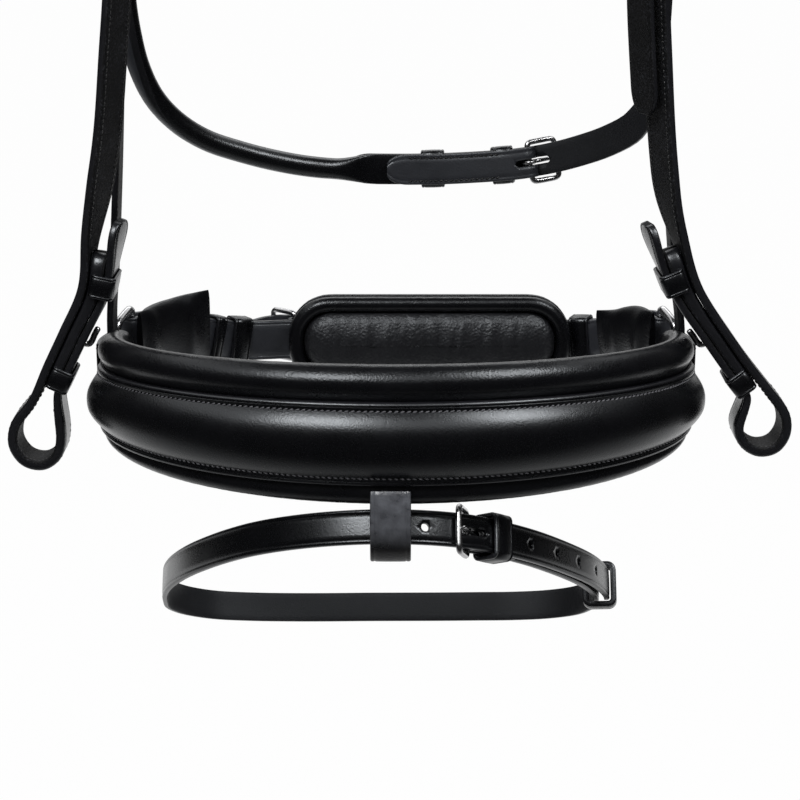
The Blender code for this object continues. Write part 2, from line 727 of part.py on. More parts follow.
def noseband():
    line = nose_line()
    length = line.length
    count = 38
    places = [length * index / count for index in range(count + 1)]
    rings = []
    for place in places:
        point, _, side, out = line.frame(place)
        half = nose_half(line, place)
        fade = ease(12, 38, place) * ease(12, 38, length - place)
        inside = half - STITCH_IN
        section = [(-half, 0.6), (-half + 0.6, 0), (half - 0.6, 0), (half, 0.6), (half, NOSE_THICK - 0.5),
                   (half - 0.5, NOSE_THICK), (inside, NOSE_THICK - 0.25)]
        for share in (0.9, 0.7, 0.4, 0.0, -0.4, -0.7, -0.9):
            section.append((inside * share, NOSE_THICK + fade * NOSE_RAISE * math.sqrt(1 - share ** 2)))
        section += [(-inside, NOSE_THICK - 0.25), (-half + 0.5, NOSE_THICK), (-half, NOSE_THICK - 0.5)]
        rings.append([point + side * across + out * up for across, up in section])
    skin("noseband", rings, False, LOOKS["black"])
    rings = []
    for place in places:
        point, _, side, out = line.frame(place)
        half = nose_half(line, place)
        ends = 0.6 + 0.4 * ease(0, 14, place) * ease(0, 14, length - place)
        top = 12.0 * ends
        base = (8.0 - 3.5 * (1 - max(0.0, -point.y / NOSE_FRONT))) * ends
        bulge = ease(0, 8, place) * ease(0, 8, length - place)
        section = [(half - 1.0, -0.4), (half + 1.2, 0.3 * bulge), (half + top * 0.35, 1.9 * bulge),
                   (half + top * 0.62, 1.7 * bulge), (half + top * 0.9, -1.0), (half + top, -4.2),
                   (half + top * 0.87, -8.0), (half + top * 0.45, -10.4), (half - 2, -10.0), (0, -9.4),
                   (-half + 1, -9.2), (-half - base * 0.6, -8.2), (-half - base, -5.0),
                   (-half - base * 0.9, -1.6), (-half - base * 0.55, 0.6 * bulge),
                   (-half - 1.2, 0.3 * bulge), (-half + 1.0, -0.4)]
        deep = 0.75 + 0.25 * ends
        rings.append([point + side * across + out * (up * (deep if up < -0.5 else 1.0))
                      for across, up in section])
    lining = skin("noseband_lining", rings, False, LOOKS["soft"])
    for side, word in ((-1, "left"), (1, "right")):
        spot = (Vector((side * HANGER_LOW_X, HANGER_Y, -427)), Vector((0, 0, 1)), Vector((0, side, 0)),
                Vector((side, 0, 0)))
        deep, wide = HANGER_THICK / 2 + 0.4, HANGER_WIDTH / 2 + 0.5
        cut(lining, cutter(f"{word}_hanger_pocket", spot, ((0, 40), (-wide, wide), (-deep, 14))))
    for side, word in ((-1, "left"), (1, "right")):
        ring_and_tab(side, word, line)
        end_pad(side, word)


def ring_points(side):
    front = Vector((-side * RING_FRONT[0], RING_FRONT[1], RING_Z - 4))
    rear = Vector((-side * RING_REAR[0], RING_REAR[1], RING_Z))
    return front, rear


def ring_and_tab(side, word, line):
    """A steel ring on the noseband's end, held by a folded leather tab."""
    front, rear = ring_points(side)
    half = RING_TALL / 2
    corners = [front + Vector((0, 0, half)), front - Vector((0, 0, half)), rear - Vector((0, 0, half)),
               rear + Vector((0, 0, half))]
    wire_ring(f"crank_ring_{word}", corners, RING_WIRE, 2.6, LOOKS["steel"])
    reach = RING_WIRE + 0.45 + 0.8
    out, back = Vector((side, 0, 0)), Vector((0, 1, 0))
    over, under = NOSE_HALF_WIDE + NOSE_THICK + GAP + 1.0, NOSE_HALF_WIDE - 4.6
    knots = [Vector((side * over, NOSE_END_Y - 9.5, front.z)),
             Vector((side * over, NOSE_END_Y, front.z))]
    for step in range(7):
        angle = math.radians(75 - 150 * step / 6)
        knots.append(front + out * (reach * math.sin(angle)) + back * (reach * math.cos(angle)))
    knots += [Vector((side * under, NOSE_END_Y + 4.0, front.z)),
              Vector((side * under, NOSE_END_Y + 0.6, front.z))]
    line = Line(knots, (0, 0, -side), steps=8)
    strap(f"ring_tab_{word}", line, 0, line.length, RING_TALL - 2 * RING_WIRE - 3.0, -0.8, 0.8,
          LOOKS["black"], pitch=6)


def end_pad(side, word):
    """Padded end of the lining that lies between the ring and the skin."""
    knots = [(-106.6, NOSE_END_Y + 2.0, -419), (-102.0, 31, -418.5), (-93.5, 43, -422.5), (-81.5, 54, -420.5)]
    if side > 0:
        knots = [(106.6, NOSE_END_Y + 2.0, -419), (102.0, 31, -419), (95.5, 40.5, -422), (88.0, 48.5, -424)]
    line = Line(knots, (0, 0, 1))

    def pillow(width, low, high):
        half, middle, deep = width / 2, (low + high) / 2, (high - low) / 2
        made = []
        for across, up in ((-1, 0), (-0.86, -0.62), (-0.5, -1), (0.5, -1), (0.86, -0.62),
                           (1, 0), (0.86, 0.62), (0.5, 1), (-0.5, 1), (-0.86, 0.62)):
            made.append((half * across, middle + deep * up))
        return made

    def deep(place):
        return 1.2 + 2.6 * ease(0, 9, place) * ease(0, 12, line.length - place)

    grow = 4.0 if side < 0 else -4.5
    strap(f"end_pad_{word}", line, 0, line.length, lambda p: 27.0 + grow * ease(0, line.length, p),
          lambda p: -deep(p), deep, LOOKS["soft"], pitch=6, profile=pillow)


def hanger_knots(side):
    x_low = HANGER_LOW_X
    middle = ((110.5, -330), (107.5, -270), (106.4, -200), (105.6, -150), (105.3, BROW_Z))
    if side > 0:
        middle = ((111.5, -360), (109.0, -300), (108.2, -250), (106.4, -190), (105.3, BROW_Z))
    knots = [Vector((side * x_low, HANGER_Y, -425.5)), Vector((side * x_low, HANGER_Y, -404))]
    knots.append(Vector((side * (114.5 if side < 0 else 113.4), HANGER_Y, -385)))
    knots += [Vector((side * x, HANGER_Y, z)) for x, z in middle]
    return knots


def hangers(arch):
    """The strap that carries the noseband, over the poll and buckled on the right of the picture."""
    middle = POLL_PAD_THICK + GAP + HANGER_THICK / 2
    over = []
    for x, z in ((-94, -84), (-91.4, -70), (-86, -50), (-64, -21), (-34, -5), (-POLL_FLAT, 0)):
        point, _, _, out = arch.frame(arch.near((x, 0, z)))
        over.append(point + out * middle + Vector((0, HANGER_Y * ease(-62, -88, z), 0)))
    right_over = [Vector((-point.x, point.y, point.z)) for point in reversed(over)]
    bar_z = -224.0
    x_bar = 109.2
    tail = [Vector((105.6, HANGER_Y, BROW_Z)), Vector((107.0, HANGER_Y, -170)),
            Vector((x_bar, HANGER_Y, bar_z + 18)), Vector((x_bar, HANGER_Y, bar_z - 10)),
            Vector((x_bar, HANGER_Y, bar_z - 47))]
    line = Line(hanger_knots(-1) + over + right_over + tail, (0, 1, 0))
    long = strap("hanger_long", line, 0, line.length, HANGER_WIDTH, -HANGER_THICK / 2, HANGER_THICK / 2,
                 LOOKS["black"], pitch=14, tips=(5, 9))
    spot = beside(x_bar - HANGER_THICK / 2, HANGER_Y, bar_z, 1)
    cut(long, tongue_hole("hanger_pin_hole", spot, HANGER_THICK))
    for index, drop in enumerate((-25, -35)):
        cut(long, drill(f"hanger_hole_{index}", shifted(spot, drop), 1.7, (-2, 5)))
    main_off = -(GAP + CHAPE_THICK + GAP + HANGER_THICK / 2)
    folded = fold_points(straight(spot), 22, main_off)
    lower = [Vector((111.0, HANGER_Y, -368)), Vector((113.2, HANGER_Y, -388)),
             Vector((HANGER_LOW_X, HANGER_Y, -407)), Vector((HANGER_LOW_X, HANGER_Y, -425.5))]
    base = folded[-1]
    under = [Vector((base.x, HANGER_Y, -290)), Vector((106.2, HANGER_Y, -330))]
    short_line = Line(folded + under + lower, (0, 1, 0), steps=8)
    turn = short_line.near(folded[10])

    def half(place):
        return (CHAPE_THICK + (HANGER_THICK - CHAPE_THICK) * ease(turn + 6, turn + 24, place)) / 2

    short = strap("hanger_short", short_line, 0, short_line.length, HANGER_WIDTH, lambda p: -half(p), half,
                  LOOKS["black"], pitch=14)
    cut(short, tongue_slot("hanger_slot", spot))
    buckle("hanger", spot, HANGER_WIDTH, HANGER_THICK)
    for drop, tag in ((-13.5, "fixed"), (-29, "runner")):
        keeper(f"hanger_{tag}_keeper", shifted(spot, drop), -(GAP + CHAPE_THICK + 1.0 + HANGER_THICK),
               HANGER_THICK + 0.1, HANGER_WIDTH / 2, 7.0, LOOKS["black"])


# Chin strap and chin pad
def chin_line():
    """Middle of the inner layer, from the left ring's rear bar behind the pad to the right ring's."""
    reach = RING_WIRE + 0.4 + CRANK_THICK / 2
    left_bar, right_bar = ring_points(-1)[1], ring_points(1)[1]
    left_away = Vector((0.68, 0.73, 0)).normalized()
    right_away = Vector((-0.42, 0.91, 0)).normalized()
    left_start = left_bar + Vector((left_away.y, -left_away.x, 0)) * reach
    right_end = right_bar + Vector((-right_away.y, right_away.x, 0)) * reach
    knots = [left_start, left_start + left_away * 8]
    middle = ((-95.5, 52.5, RING_Z - 3.5), (-84, 66, RING_Z - 9), (-71, 78.3, CRANK_Z + 1.5),
              (-61.5, 84.2, CRANK_Z), (-50, CRANK_Y, CRANK_Z), (-30, CRANK_Y, CRANK_Z),
              (50, CRANK_Y, CRANK_Z), (79, CRANK_Y, CRANK_Z), (91, 79.0, CRANK_Z + 2),
              (100.5, 62.5, RING_Z - 6))
    knots += [Vector(knot) for knot in middle]
    knots += [right_end + right_away * 9, right_end]
    return Line(knots, (0, 0, -1)), (left_bar, left_away), (right_bar, right_away), reach


def chin_strap():
    """One strap, sewn round the right ring, along behind the pad, round the left ring and back to the buckle."""
    inner, left, right, reach = chin_line()
    layer = CRANK_THICK + 0.6
    bar_place = inner.near((CHIN_BAR_X, CRANK_Y, CRANK_Z))
    tip = bar_place + 76

    def apart(place):
        """Distance between the two layers, wider at the rings and over the buckle."""
        at_ring = 1 - ease(0, 15, min(place, inner.length - place))
        rise = ease(bar_place - 19, bar_place - 9, place)
        sink = ease(bar_place + 1, bar_place + 14, place)
        done = ease(bar_place + 32, bar_place + 41, place)
        over = CHIN_RISE * rise - (CHIN_RISE - 3.5) * sink - 3.5 * done
        return layer + (2 * reach - layer) * at_ring + over

    def outer(place):
        point, _, _, out = inner.frame(place)
        return point + out * apart(place)

    def round_bar(bar, away, side):
        """From the inner layer round the far side of the bar to the outer layer."""
        start = math.atan2(away.y, away.x) - side * math.pi / 2
        made = []
        for step in range(1, 8):
            angle = start - side * math.pi * step / 8
            made.append(bar + Vector((math.cos(angle), math.sin(angle), 0)) * reach)
        return made

    tail = [outer(inner.length - back) for back in (62, 54, 46, 38, 30, 22, 14, 7, 0)]
    run = [inner.at(inner.length * (1 - share / 30)) for share in range(31)]
    back = [outer(place) for place in steps(0, tip, 34)]
    points = tail + round_bar(*right, -1)[::-1] + run + round_bar(*left, 1) + back
    line = Line(points, (0, 0, -1), steps=8)
    body = strap("chin_strap", line, 0, line.length, CRANK_WIDTH, -CRANK_THICK / 2, CRANK_THICK / 2,
                 LOOKS["black"], pitch=14, tips=(6, 9))
    point, forward, side, out = inner.frame(bar_place)
    spot = (point + out * (apart(bar_place) - CRANK_THICK / 2), -forward, side, out)
    cut(body, tongue_hole("chin_pin_hole", spot, CRANK_THICK))
    rise = apart(bar_place) - CRANK_THICK / 2

    def at(back, up):
        centre, _, _, away = inner.frame(bar_place + back)
        return centre + away * (rise + up)

    fold = WIRE + BAR_ROOM + CHAPE_THICK / 2
    low = BAR_DEPTH - fold
    high = low + CHAPE_THICK + GAP
    path = [at(31, high), at(22, high), at(14, high), at(7, high * 0.5 - 0.55)]
    for step in range(8):
        angle = math.pi / 2 - math.pi * step / 7
        path.append(at(-fold * math.cos(angle), BAR_DEPTH + fold * math.sin(angle)))
    path += [at(8, low), at(20, low), at(31, low)]
    leaf = Line(path, side, steps=8)
    chape = strap("chin_chape", leaf, 0, leaf.length, CRANK_WIDTH - 1, -CHAPE_THICK / 2, CHAPE_THICK / 2,
                  LOOKS["black"], pitch=10)
    cut(chape, tongue_slot("chin_slot", spot))
    buckle("chin", spot, CRANK_WIDTH, CRANK_THICK)
    for x, y, long, tag in ((-81, 69.5, 5.6, "left_outer"), (-70.5, 78.7, 9.5, "left_inner"),
                            (84, 84.7, 9.0, "right")):
        place = inner.near((x, y, CRANK_Z))
        keeper(f"chin_keeper_{tag}", inner.frame(place), -CRANK_THICK / 2 - 0.6,
               apart(place) + CRANK_THICK / 2 + 0.5, CRANK_WIDTH / 2 + 0.2, long, LOOKS["black"])
    return apart(inner.near((CHIN_LOOP_X, CRANK_Y, CRANK_Z)))


def flat_rect(width, tall, corner, count=6):
    """A rectangle with rounded corners, as points in X and Z."""
    made = []
    for sx, sz, first in ((1, 1, 0), (-1, 1, 90), (-1, -1, 180), (1, -1, 270)):
        for step in range(count):
            angle = math.radians(first + 90 * step / (count - 1))
            made.append((sx * (width / 2 - corner) + corner * math.cos(angle),
                         sz * (tall / 2 - corner) + corner * math.sin(angle)))
    return made


def chin_pad(billet_off):
    back = CRANK_Y - CRANK_THICK / 2 - KEEPER_THICK - 3 * GAP
    centre = Vector((CHIN_X, 0, CHIN_Z))
    outline = flat_rect(CHIN_WIDE, CHIN_TALL, 19)
    rings = [[centre + Vector((x * scale, y, z * scale)) for x, z in outline]
             for scale, y in ((0.985, back), (1.0, back - 0.6), (1.0, back - 1.6), (0.985, back - 2.2))]
    skin("chin_pad_back", rings, False, LOOKS["black"])
    front = back - 2.2 - GAP
    path = [centre + Vector((x, front - PIPING, z))
            for x, z in flat_rect(CHIN_WIDE - 2 * PIPING, CHIN_TALL - 2 * PIPING, 15.7)]
    tube("chin_pad_piping", path, PIPING, LOOKS["soft"], closed=True, sides=10)
    inner_width, inner_tall = CHIN_WIDE - 4 * PIPING - 0.8, CHIN_TALL - 4 * PIPING - 0.8
    rings = []
    for inset, deep in ((0.8, 0.0), (0.2, 1.0), (0.0, 3.0), (0.6, 5.0), (3.2, 7.4), (7.0, 8.9),
                        (10.5, 9.6)):
        ring = flat_rect(inner_width - 2 * inset, inner_tall - 2 * inset, max(2.0, 12.8 - inset))
        rings.append([centre + Vector((x, front - deep, z)) for x, z in ring])
    skin("chin_pad", rings, False, LOOKS["soft"])
    for x, word in ((CHIN_LOOP_X, "left"), (CHIN_X + 36, "right")):
        spot = (Vector((x, CRANK_Y, CRANK_Z)), Vector((1, 0, 0)), Vector((0, 0, 1)), Vector((0, 1, 0)))
        high = CRANK_THICK / 2 + (billet_off if word == "left" else 0.1)
        keeper(f"chin_pad_loop_{word}", spot, -CRANK_THICK / 2, high + 0.1, CRANK_WIDTH / 2, 8.0,
               LOOKS["black"])


# Flash strap
def flash_line():
    def height(y):
        return FLASH_Z - FLASH_SLOPE * (y - FLASH_Y)

    tilt = Vector((0, FLASH_SLOPE, 1)).normalized()
    return Line([(x, y, height(y)) for x, y in FLASH_PLAN], tilt, closed=True)


def flash():
    """One strap: folded round its buckle, round the back and through the loop to the buckle again."""
    ring = flash_line()
    bar_place = ring.near((27.6, -83.6, FLASH_Z - FLASH_SLOPE * (-83.6 - FLASH_Y)))
    lap = ring.length
    point, forward, side, out = ring.frame(bar_place)
    # The frame's front bar points back towards the loop.
    spot = (point, -forward, side, out)
    main_off = -(GAP + CHAPE_THICK + GAP + FLASH_THICK / 2)
    folded = fold_points(bent(ring, bar_place, 1), 26, main_off)
    start = bar_place + 22
    over = 138.0
    points = list(folded)
    count = 34
    for index in range(count + 1):
        place = start + (lap - start) * index / count
        spare = ease(over - 4, lap * 0.62, place)
        up = main_off + (FLASH_THICK / 2 - main_off) * spare
        at, _, _, away = ring.frame(place)
        points.append(at + away * up)
    for index in range(1, 13):
        place = bar_place + over * index / 12
        at, _, _, away = ring.frame(place)
        points.append(at + away * (FLASH_THICK / 2))
    line = Line(points, ring.side, steps=6)
    turn = line.near(folded[10])

    def half(place):
        return (CHAPE_THICK + (FLASH_THICK - CHAPE_THICK) * ease(turn + 4, turn + 22, place)) / 2

    body = strap("flash_strap", line, 0, line.length, FLASH_WIDTH, lambda p: -half(p), half, LOOKS["black"],
                 tips=(0, 9), pitch=12)
    cut(body, tongue_slot("flash_slot", spot))
    cut(body, tongue_hole("flash_pin_hole", spot, FLASH_THICK))
    for index in range(4):
        away = 32 + 21.0 * index
        at = ring.frame(bar_place + away)
        cut(body, drill(f"flash_hole_{index}", at, 1.7, (-0.15, FLASH_THICK + 1), sides=10))
    spare = ring.frame(bar_place - 20.5)
    cut(body, drill("flash_hole_spare", spare, 1.7, (-1, FLASH_THICK + 1), sides=10))
    buckle("flash", spot, FLASH_WIDTH, FLASH_THICK)
    deep = -(GAP + CHAPE_THICK + GAP + FLASH_THICK)
    keeper("flash_fixed_keeper", ring.frame(bar_place + 13), deep - 1.3, FLASH_THICK + 0.2,
           FLASH_WIDTH / 2 + 0.6, 10.0, LOOKS["black"], thick=1.5)
    keeper("flash_runner_keeper", ring.frame(bar_place + 131), deep - 0.4, FLASH_THICK + 0.6,
           FLASH_WIDTH / 2 + 0.6, 8.5, LOOKS["black"], thick=1.5)


def flash_loop():
    """A sling of leather under the middle of the noseband that the flash strap runs through."""
    side_view = ((-99.6, -441.4), (-101.6, -448), (-102.2, -456), (-101.2, -464), (-96.5, -469),
                 (-90.0, -467.5), (-86.8, -460), (-86.6, -450.6))
    knots = [(-2.0, y, z) for y, z in side_view]
    line = Line(knots, (1, 0, 0))
    strap("flash_loop", line, 0, line.length, 15.0, -1.0, 1.0, LOOKS["black"], pitch=4.5)


# Throatlatch
def throat_turn(point):
    """Width runs front to back beside the head and turns up and down under the throat."""
    share = ease(-334, -296, point.z)
    return Vector((0, -0.1, -1.0)).lerp(Vector((0, -1, 0)), share).normalized()


def throat():
    """A rolled part folded round the buckle, and a flat part that comes through it from the other side."""
    line = Line(THROAT, throat_turn)
    bar_place = line.near(THROAT_BAR)
    point, forward, side, out = line.frame(bar_place)
    spot = (point, forward, side, out)
    at = bent(line, bar_place, -1)
    fold_back = 58.0
    inner_leaf = -(2 * GAP + CHAPE_THICK * 1.5)
    folded = fold_points(at, 24, inner_leaf, settle=11)

    def roll(place):
        return ease(25, 70, place) * (1 - ease(bar_place - 90, bar_place - fold_back - 5, place))

    def half(place):
        thin = ease(bar_place - 80, bar_place - fold_back - 5, place)
        flat = THROAT_THICK + (CHAPE_THICK - THROAT_THICK) * thin
        return (flat + (ROLL_THICK - flat) * roll(place)) / 2

    run = []
    for place in [0, 6, 14] + [26 + 15 * index for index in range(int((bar_place - 56) / 15) + 1)]:
        centre, _, _, away = line.frame(place)
        near_buckle = ease(bar_place - 190, bar_place - 100, place)
        run.append(centre - away * ((GAP + half(place)) * near_buckle))
    points = run + folded + [at(24, inner_leaf), at(40, inner_leaf), at(fold_back, inner_leaf)]

    def level(place):
        share = ease(8, 30, (place - point).length)
        return side.lerp(throat_turn(place), share)

    whole = Line(points, level, steps=8)
    turn = whole.near(folded[3])

    def wide(place):
        return THROAT_WIDTH + (ROLL_THICK - THROAT_WIDTH) * roll(place)

    def size(place):
        return half(min(place * bar_place / turn, bar_place)) if place < turn else CHAPE_THICK / 2

    body = strap("throat_roll", whole, 0, whole.length, wide, lambda p: -size(p), size, LOOKS["black"],
                 profile=round_profile, tips=(0, 9))
    cut(body, tongue_slot("throat_slot", spot))
    billet = []
    for place in steps(bar_place - 79, line.length, 24):
        centre, _, _, away = line.frame(place)
        billet.append(centre + away * (THROAT_THICK / 2 * (1 - ease(bar_place + 60, bar_place + 140, place))))
    flat = Line(billet, throat_turn, steps=8)
    flat_body = strap("throat_strap", flat, 0, flat.length, THROAT_WIDTH, -THROAT_THICK / 2, THROAT_THICK / 2,
                      LOOKS["black"], tips=(9, 0), pitch=16)
    cut(flat_body, tongue_hole("throat_pin_hole", spot, THROAT_THICK))
    for index, back in enumerate((27, 58)):
        cut(flat_body, drill(f"throat_hole_{index}", line.frame(bar_place - back), 1.6, (-0.15, 3.5)))
    buckle("throat", spot, THROAT_WIDTH, THROAT_THICK)
    for back, long, tag in ((12.8, 9.0, "fixed"), (43.0, 10.0, "runner")):
        keeper(f"throat_{tag}_keeper", line.frame(bar_place - back), inner_leaf - CHAPE_THICK / 2 - 0.7,
               THROAT_THICK + 0.3, THROAT_WIDTH / 2 + 0.1, long, LOOKS["black"])


def build():
    for thing in list(bpy.data.objects):
        bpy.data.objects.remove(thing)
    arch = arch_line()
    poll_pad(arch)
    headpiece(arch)
    browband()
    cheekpiece(-1, "left")
    cheekpiece(1, "right")
    noseband()
    hangers(arch)
    chin_pad(chin_strap())
    flash()
    flash_loop()
    throat()


build()
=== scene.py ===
# %% [markdown]
# # An english bridle with a padded crank noseband and a flash strap
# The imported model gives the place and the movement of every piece. This lesson dresses it: each plain solid
# is replaced by a finished piece of leather, padding, thread or steel on the same line.

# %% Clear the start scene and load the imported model
import json
import math

import bpy
import numpy as np
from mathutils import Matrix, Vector, noise

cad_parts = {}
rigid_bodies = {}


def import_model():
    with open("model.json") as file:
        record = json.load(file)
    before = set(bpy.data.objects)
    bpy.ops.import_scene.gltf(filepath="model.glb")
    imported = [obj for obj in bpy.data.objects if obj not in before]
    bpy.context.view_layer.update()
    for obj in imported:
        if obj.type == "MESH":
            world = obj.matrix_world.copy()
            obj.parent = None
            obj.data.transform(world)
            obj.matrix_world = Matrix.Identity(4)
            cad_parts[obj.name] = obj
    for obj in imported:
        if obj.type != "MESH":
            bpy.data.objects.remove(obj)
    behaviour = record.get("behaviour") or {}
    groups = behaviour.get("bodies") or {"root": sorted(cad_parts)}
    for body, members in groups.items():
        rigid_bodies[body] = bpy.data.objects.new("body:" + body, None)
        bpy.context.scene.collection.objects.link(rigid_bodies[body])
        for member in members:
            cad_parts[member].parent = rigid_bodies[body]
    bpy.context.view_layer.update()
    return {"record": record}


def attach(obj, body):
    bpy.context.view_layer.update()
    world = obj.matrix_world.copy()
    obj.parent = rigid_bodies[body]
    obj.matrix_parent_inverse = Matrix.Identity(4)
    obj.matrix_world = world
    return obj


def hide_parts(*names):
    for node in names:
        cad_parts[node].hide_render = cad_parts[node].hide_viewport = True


bpy.ops.object.select_all(action="SELECT")
bpy.ops.object.delete()
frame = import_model()

MM = 0.001
body_of = {node: body for body, nodes in frame["record"]["behaviour"]["bodies"].items() for node in nodes}

# %% [markdown]
# ## Sizes
# A strap is named by its width and its thickness, as a saddler orders it. All sizes are in millimetres and
# are turned into metres only when a mesh is made. +X is the right of the picture and -Y is the horse's
# front.

# %% Strap, buckle and place sizes
GAP = 0.3
CHEEK_WIDTH, CHEEK_THICK = 16.0, 3.4
HANGER_WIDTH, HANGER_THICK = 14.0, 2.6
CRANK_WIDTH, CRANK_THICK = 18.0, 2.4
FLASH_WIDTH, FLASH_THICK = 13.0, 2.4
THROAT_WIDTH, THROAT_THICK = 13.0, 2.4
ROLL_THICK = 9.0
KEEPER_THICK = 1.1
WIRE, TONGUE_WIRE, TONGUE_GAP = 1.2, 0.9, 0.15
CHAPE_THICK, BUCKLE_LONG, BAR_ROOM = 1.6, 10.0, 0.3
BAR_DEPTH = -(GAP + CHAPE_THICK + BAR_ROOM + WIRE)
CHEEK_Y, HANGER_Y, THROAT_Y = -12.0, 7.5, 27.5
POLL_FLAT, POLL_PAD_THICK = 8.0, 8.0
CROWN_WIDTH, CROWN_THICK = 40.0, 2.9
BROW_Z, BROW_TALL, BROW_REACH, BROW_DIP = -112.0, 20.0, 105.0, 12.0
BUCKLE_Z = -198.0
BACKING_THICK, BILLET_THICK, LOOP_THICK, BILLET_GAP = 2.4, 3.0, 3.9, 0.5
BACKING_HIGH = CHEEK_THICK / 2 + GAP + KEEPER_THICK + 2 * GAP + BACKING_THICK
BILLET_OFF = BACKING_HIGH + BILLET_GAP + BILLET_THICK / 2
NOSE_HALF_WIDE, NOSE_FRONT, NOSE_END_Y = 118.5, 97.0, 16.0
NOSE_Z_FRONT, NOSE_Z_SIDE = -424.0, -433.0
NOSE_HALF_FRONT, NOSE_HALF_SIDE = 16.0, 12.0
NOSE_THICK, NOSE_RAISE, STITCH_IN = 2.6, 5.4, 3.2
HANGER_LOW_X = 116.2
RING_WIRE, RING_TALL, RING_Z = 1.8, 25.0, -421.0
RING_FRONT, RING_REAR = (-117.0, 24.5), (-112.5, 38.0)
CRANK_Y, CRANK_Z = 86.0, -436.0
CHIN_BAR_X, CHIN_LOOP_X, CHIN_RISE, CHIN_SINK = -46.0, 11.0, 6.3, 3.5
CHIN_X, CHIN_Z, CHIN_WIDE, CHIN_TALL, PIPING = 15.0, -435.0, 126.0, 42.0, 3.3
FLASH_Z, FLASH_Y, FLASH_SLOPE = -458.5, -92.0, 0.64
print("noseband half width", NOSE_HALF_WIDE, "flash strap", FLASH_WIDTH, "x", FLASH_THICK)

# %% Lines of the straps
ARCH = ((-95, -92), (-88, -56), (-64, -21), (-34, -5), (-POLL_FLAT, 0))
SIDES = ((-1, "left"), (1, "right"))
CHEEK = {"left": ((-105.5, -262), (-108.8, -297), (-112.0, -325), (-116.0, -347),
                  (-120.2, -366), (-124.0, -387), (-131.8, -403.5), (-139.0, -418)),
         "right": ((98.4, -262), (100.9, -300), (104.0, -333), (107.0, -352),
                   (111.7, -367), (119.7, -387), (135.0, -410), (141.3, -418.5))}
BILLET_END = {"left": ((-100.9, -249),), "right": ((93.6, -256), (92.8, -268), (93.4, -281), (96.6, -318))}
BIT_LOOP = {"left": ((-146.0, -433), (-153.4, -443), (-154.6, -451), (-151.4, -457.2),
                     (-147.2, -459.6), (-142.2, -459.6), (-137.4, -456), (-135.2, -449.5)),
            "right": ((149.3, -428.5), (156.4, -438.5), (157.2, -446), (154.4, -451.6),
                      (150.6, -453.8), (145.6, -453.8), (140.6, -450.5), (138.0, -444.5))}
FLASH_PLAN = ((24, -86.5), (47, -67), (66, -42), (82, -13), (90, 20), (84, 46), (66, 58), (30, 61),
              (-10, 61), (-50, 61), (-82, 55), (-97, 38), (-98, 14), (-92, -14), (-76, -46),
              (-50, -76), (-22, -90), (2, -92.5))
THROAT_BAR = (58, 62, -350.5)
THROAT = ((-104.2, THROAT_Y, -131), (-104.4, THROAT_Y, -147), (-106.6, THROAT_Y, -180),
          (-108.5, THROAT_Y, -230), (-107.5, 28, -288), (-100, 35, -318),
          (-86, 45, -335), (-66, 55, -345), (-36, 65, -353), (0, 69, -355), (30, 67.5, -354), THROAT_BAR,
          (80, 52, -343), (99, 36, -329), (106.5, 28.5, -300), (108.5, THROAT_Y, -230),
          (106.6, THROAT_Y, -180), (104.4, THROAT_Y, -147), (104.2, THROAT_Y, -131))
print("knots on the throatlatch", len(THROAT))

# %% [markdown]
# ## A line for each strap
# A strap could be drawn as a Blender curve with a bevel, but its width has to turn round the head and its
# thickness has to grow and shrink. So each strap has a route: a smooth line through a few knots, which also
# says at every point which way is forward, which way is the strap's width, and which way is out.

# %% The route class
def catmull(four, share):
    """A point between the middle two of four points, on a line that never loops between uneven knots."""
    a, b, c, d = four
    first = max((b - a).length, 1e-6) ** 0.5
    second = first + max((c - b).length, 1e-6) ** 0.5
    third = second + max((d - c).length, 1e-6) ** 0.5
    now = first + (second - first) * share
    ab = a.lerp(b, now / first)
    bc = b.lerp(c, (now - first) / (second - first))
    cd = c.lerp(d, (now - second) / (third - second))
    early = ab.lerp(bc, now / second)
    late = bc.lerp(cd, (now - first) / (third - first))
    return early.lerp(late, (now - first) / (second - first))


def neighbours(points, index, closed):
    """The point before a span, its two ends, and the point after it."""
    count = len(points)
    if closed:
        return [points[(index + shift) % count] for shift in (-1, 0, 1, 2)]
    before = points[index - 1] if index else 2 * points[0] - points[1]
    after = points[index + 2] if index + 2 < count else 2 * points[-1] - points[-2]
    return [before, points[index], points[index + 1], after]


class Route:
    def __init__(self, knots, side, closed=False, steps=16):
        points = [Vector(knot) for knot in knots]
        self.closed, self.side = closed, side
        self.dense = []
        for index in range(len(points) - (0 if closed else 1)):
            four = neighbours(points, index, closed)
            self.dense += [catmull(four, step / steps) for step in range(steps)]
        self.dense.append(points[0] if closed else points[-1])
        self.walked = [0.0]
        for one, two in zip(self.dense, self.dense[1:]):
            self.walked.append(self.walked[-1] + (two - one).length)
        self.length = self.walked[-1]

    def at(self, distance):
        if self.closed:
            distance %= self.length
        distance = min(max(distance, 0.0), self.length)
        low = int(np.searchsorted(self.walked, distance, side="right")) - 1
        low = min(max(low, 0), len(self.walked) - 2)
        span = self.walked[low + 1] - self.walked[low]
        share = (distance - self.walked[low]) / span if span else 0.0
        points = self.dense[:-1] if self.closed else self.dense
        return catmull(neighbours(points, low, self.closed), share)

    def frame(self, distance):
        """Point, forward, width and outward directions."""
        ahead, behind = distance + 1.0, distance - 1.0
        if not self.closed:
            ahead, behind = min(ahead, self.length), max(behind, 0.0)
        point = self.at(distance)
        forward = (self.at(ahead) - self.at(behind)).normalized()
        side = self.side(point) if callable(self.side) else Vector(self.side)
        side = (side - forward * side.dot(forward)).normalized()
        return point, forward, side, forward.cross(side).normalized()

    def near(self, target):
        """How far along the line the point nearest to the target lies."""
        target = Vector(target)
        best = min(range(len(self.dense)), key=lambda index: (self.dense[index] - target).length)
        return self.walked[best]


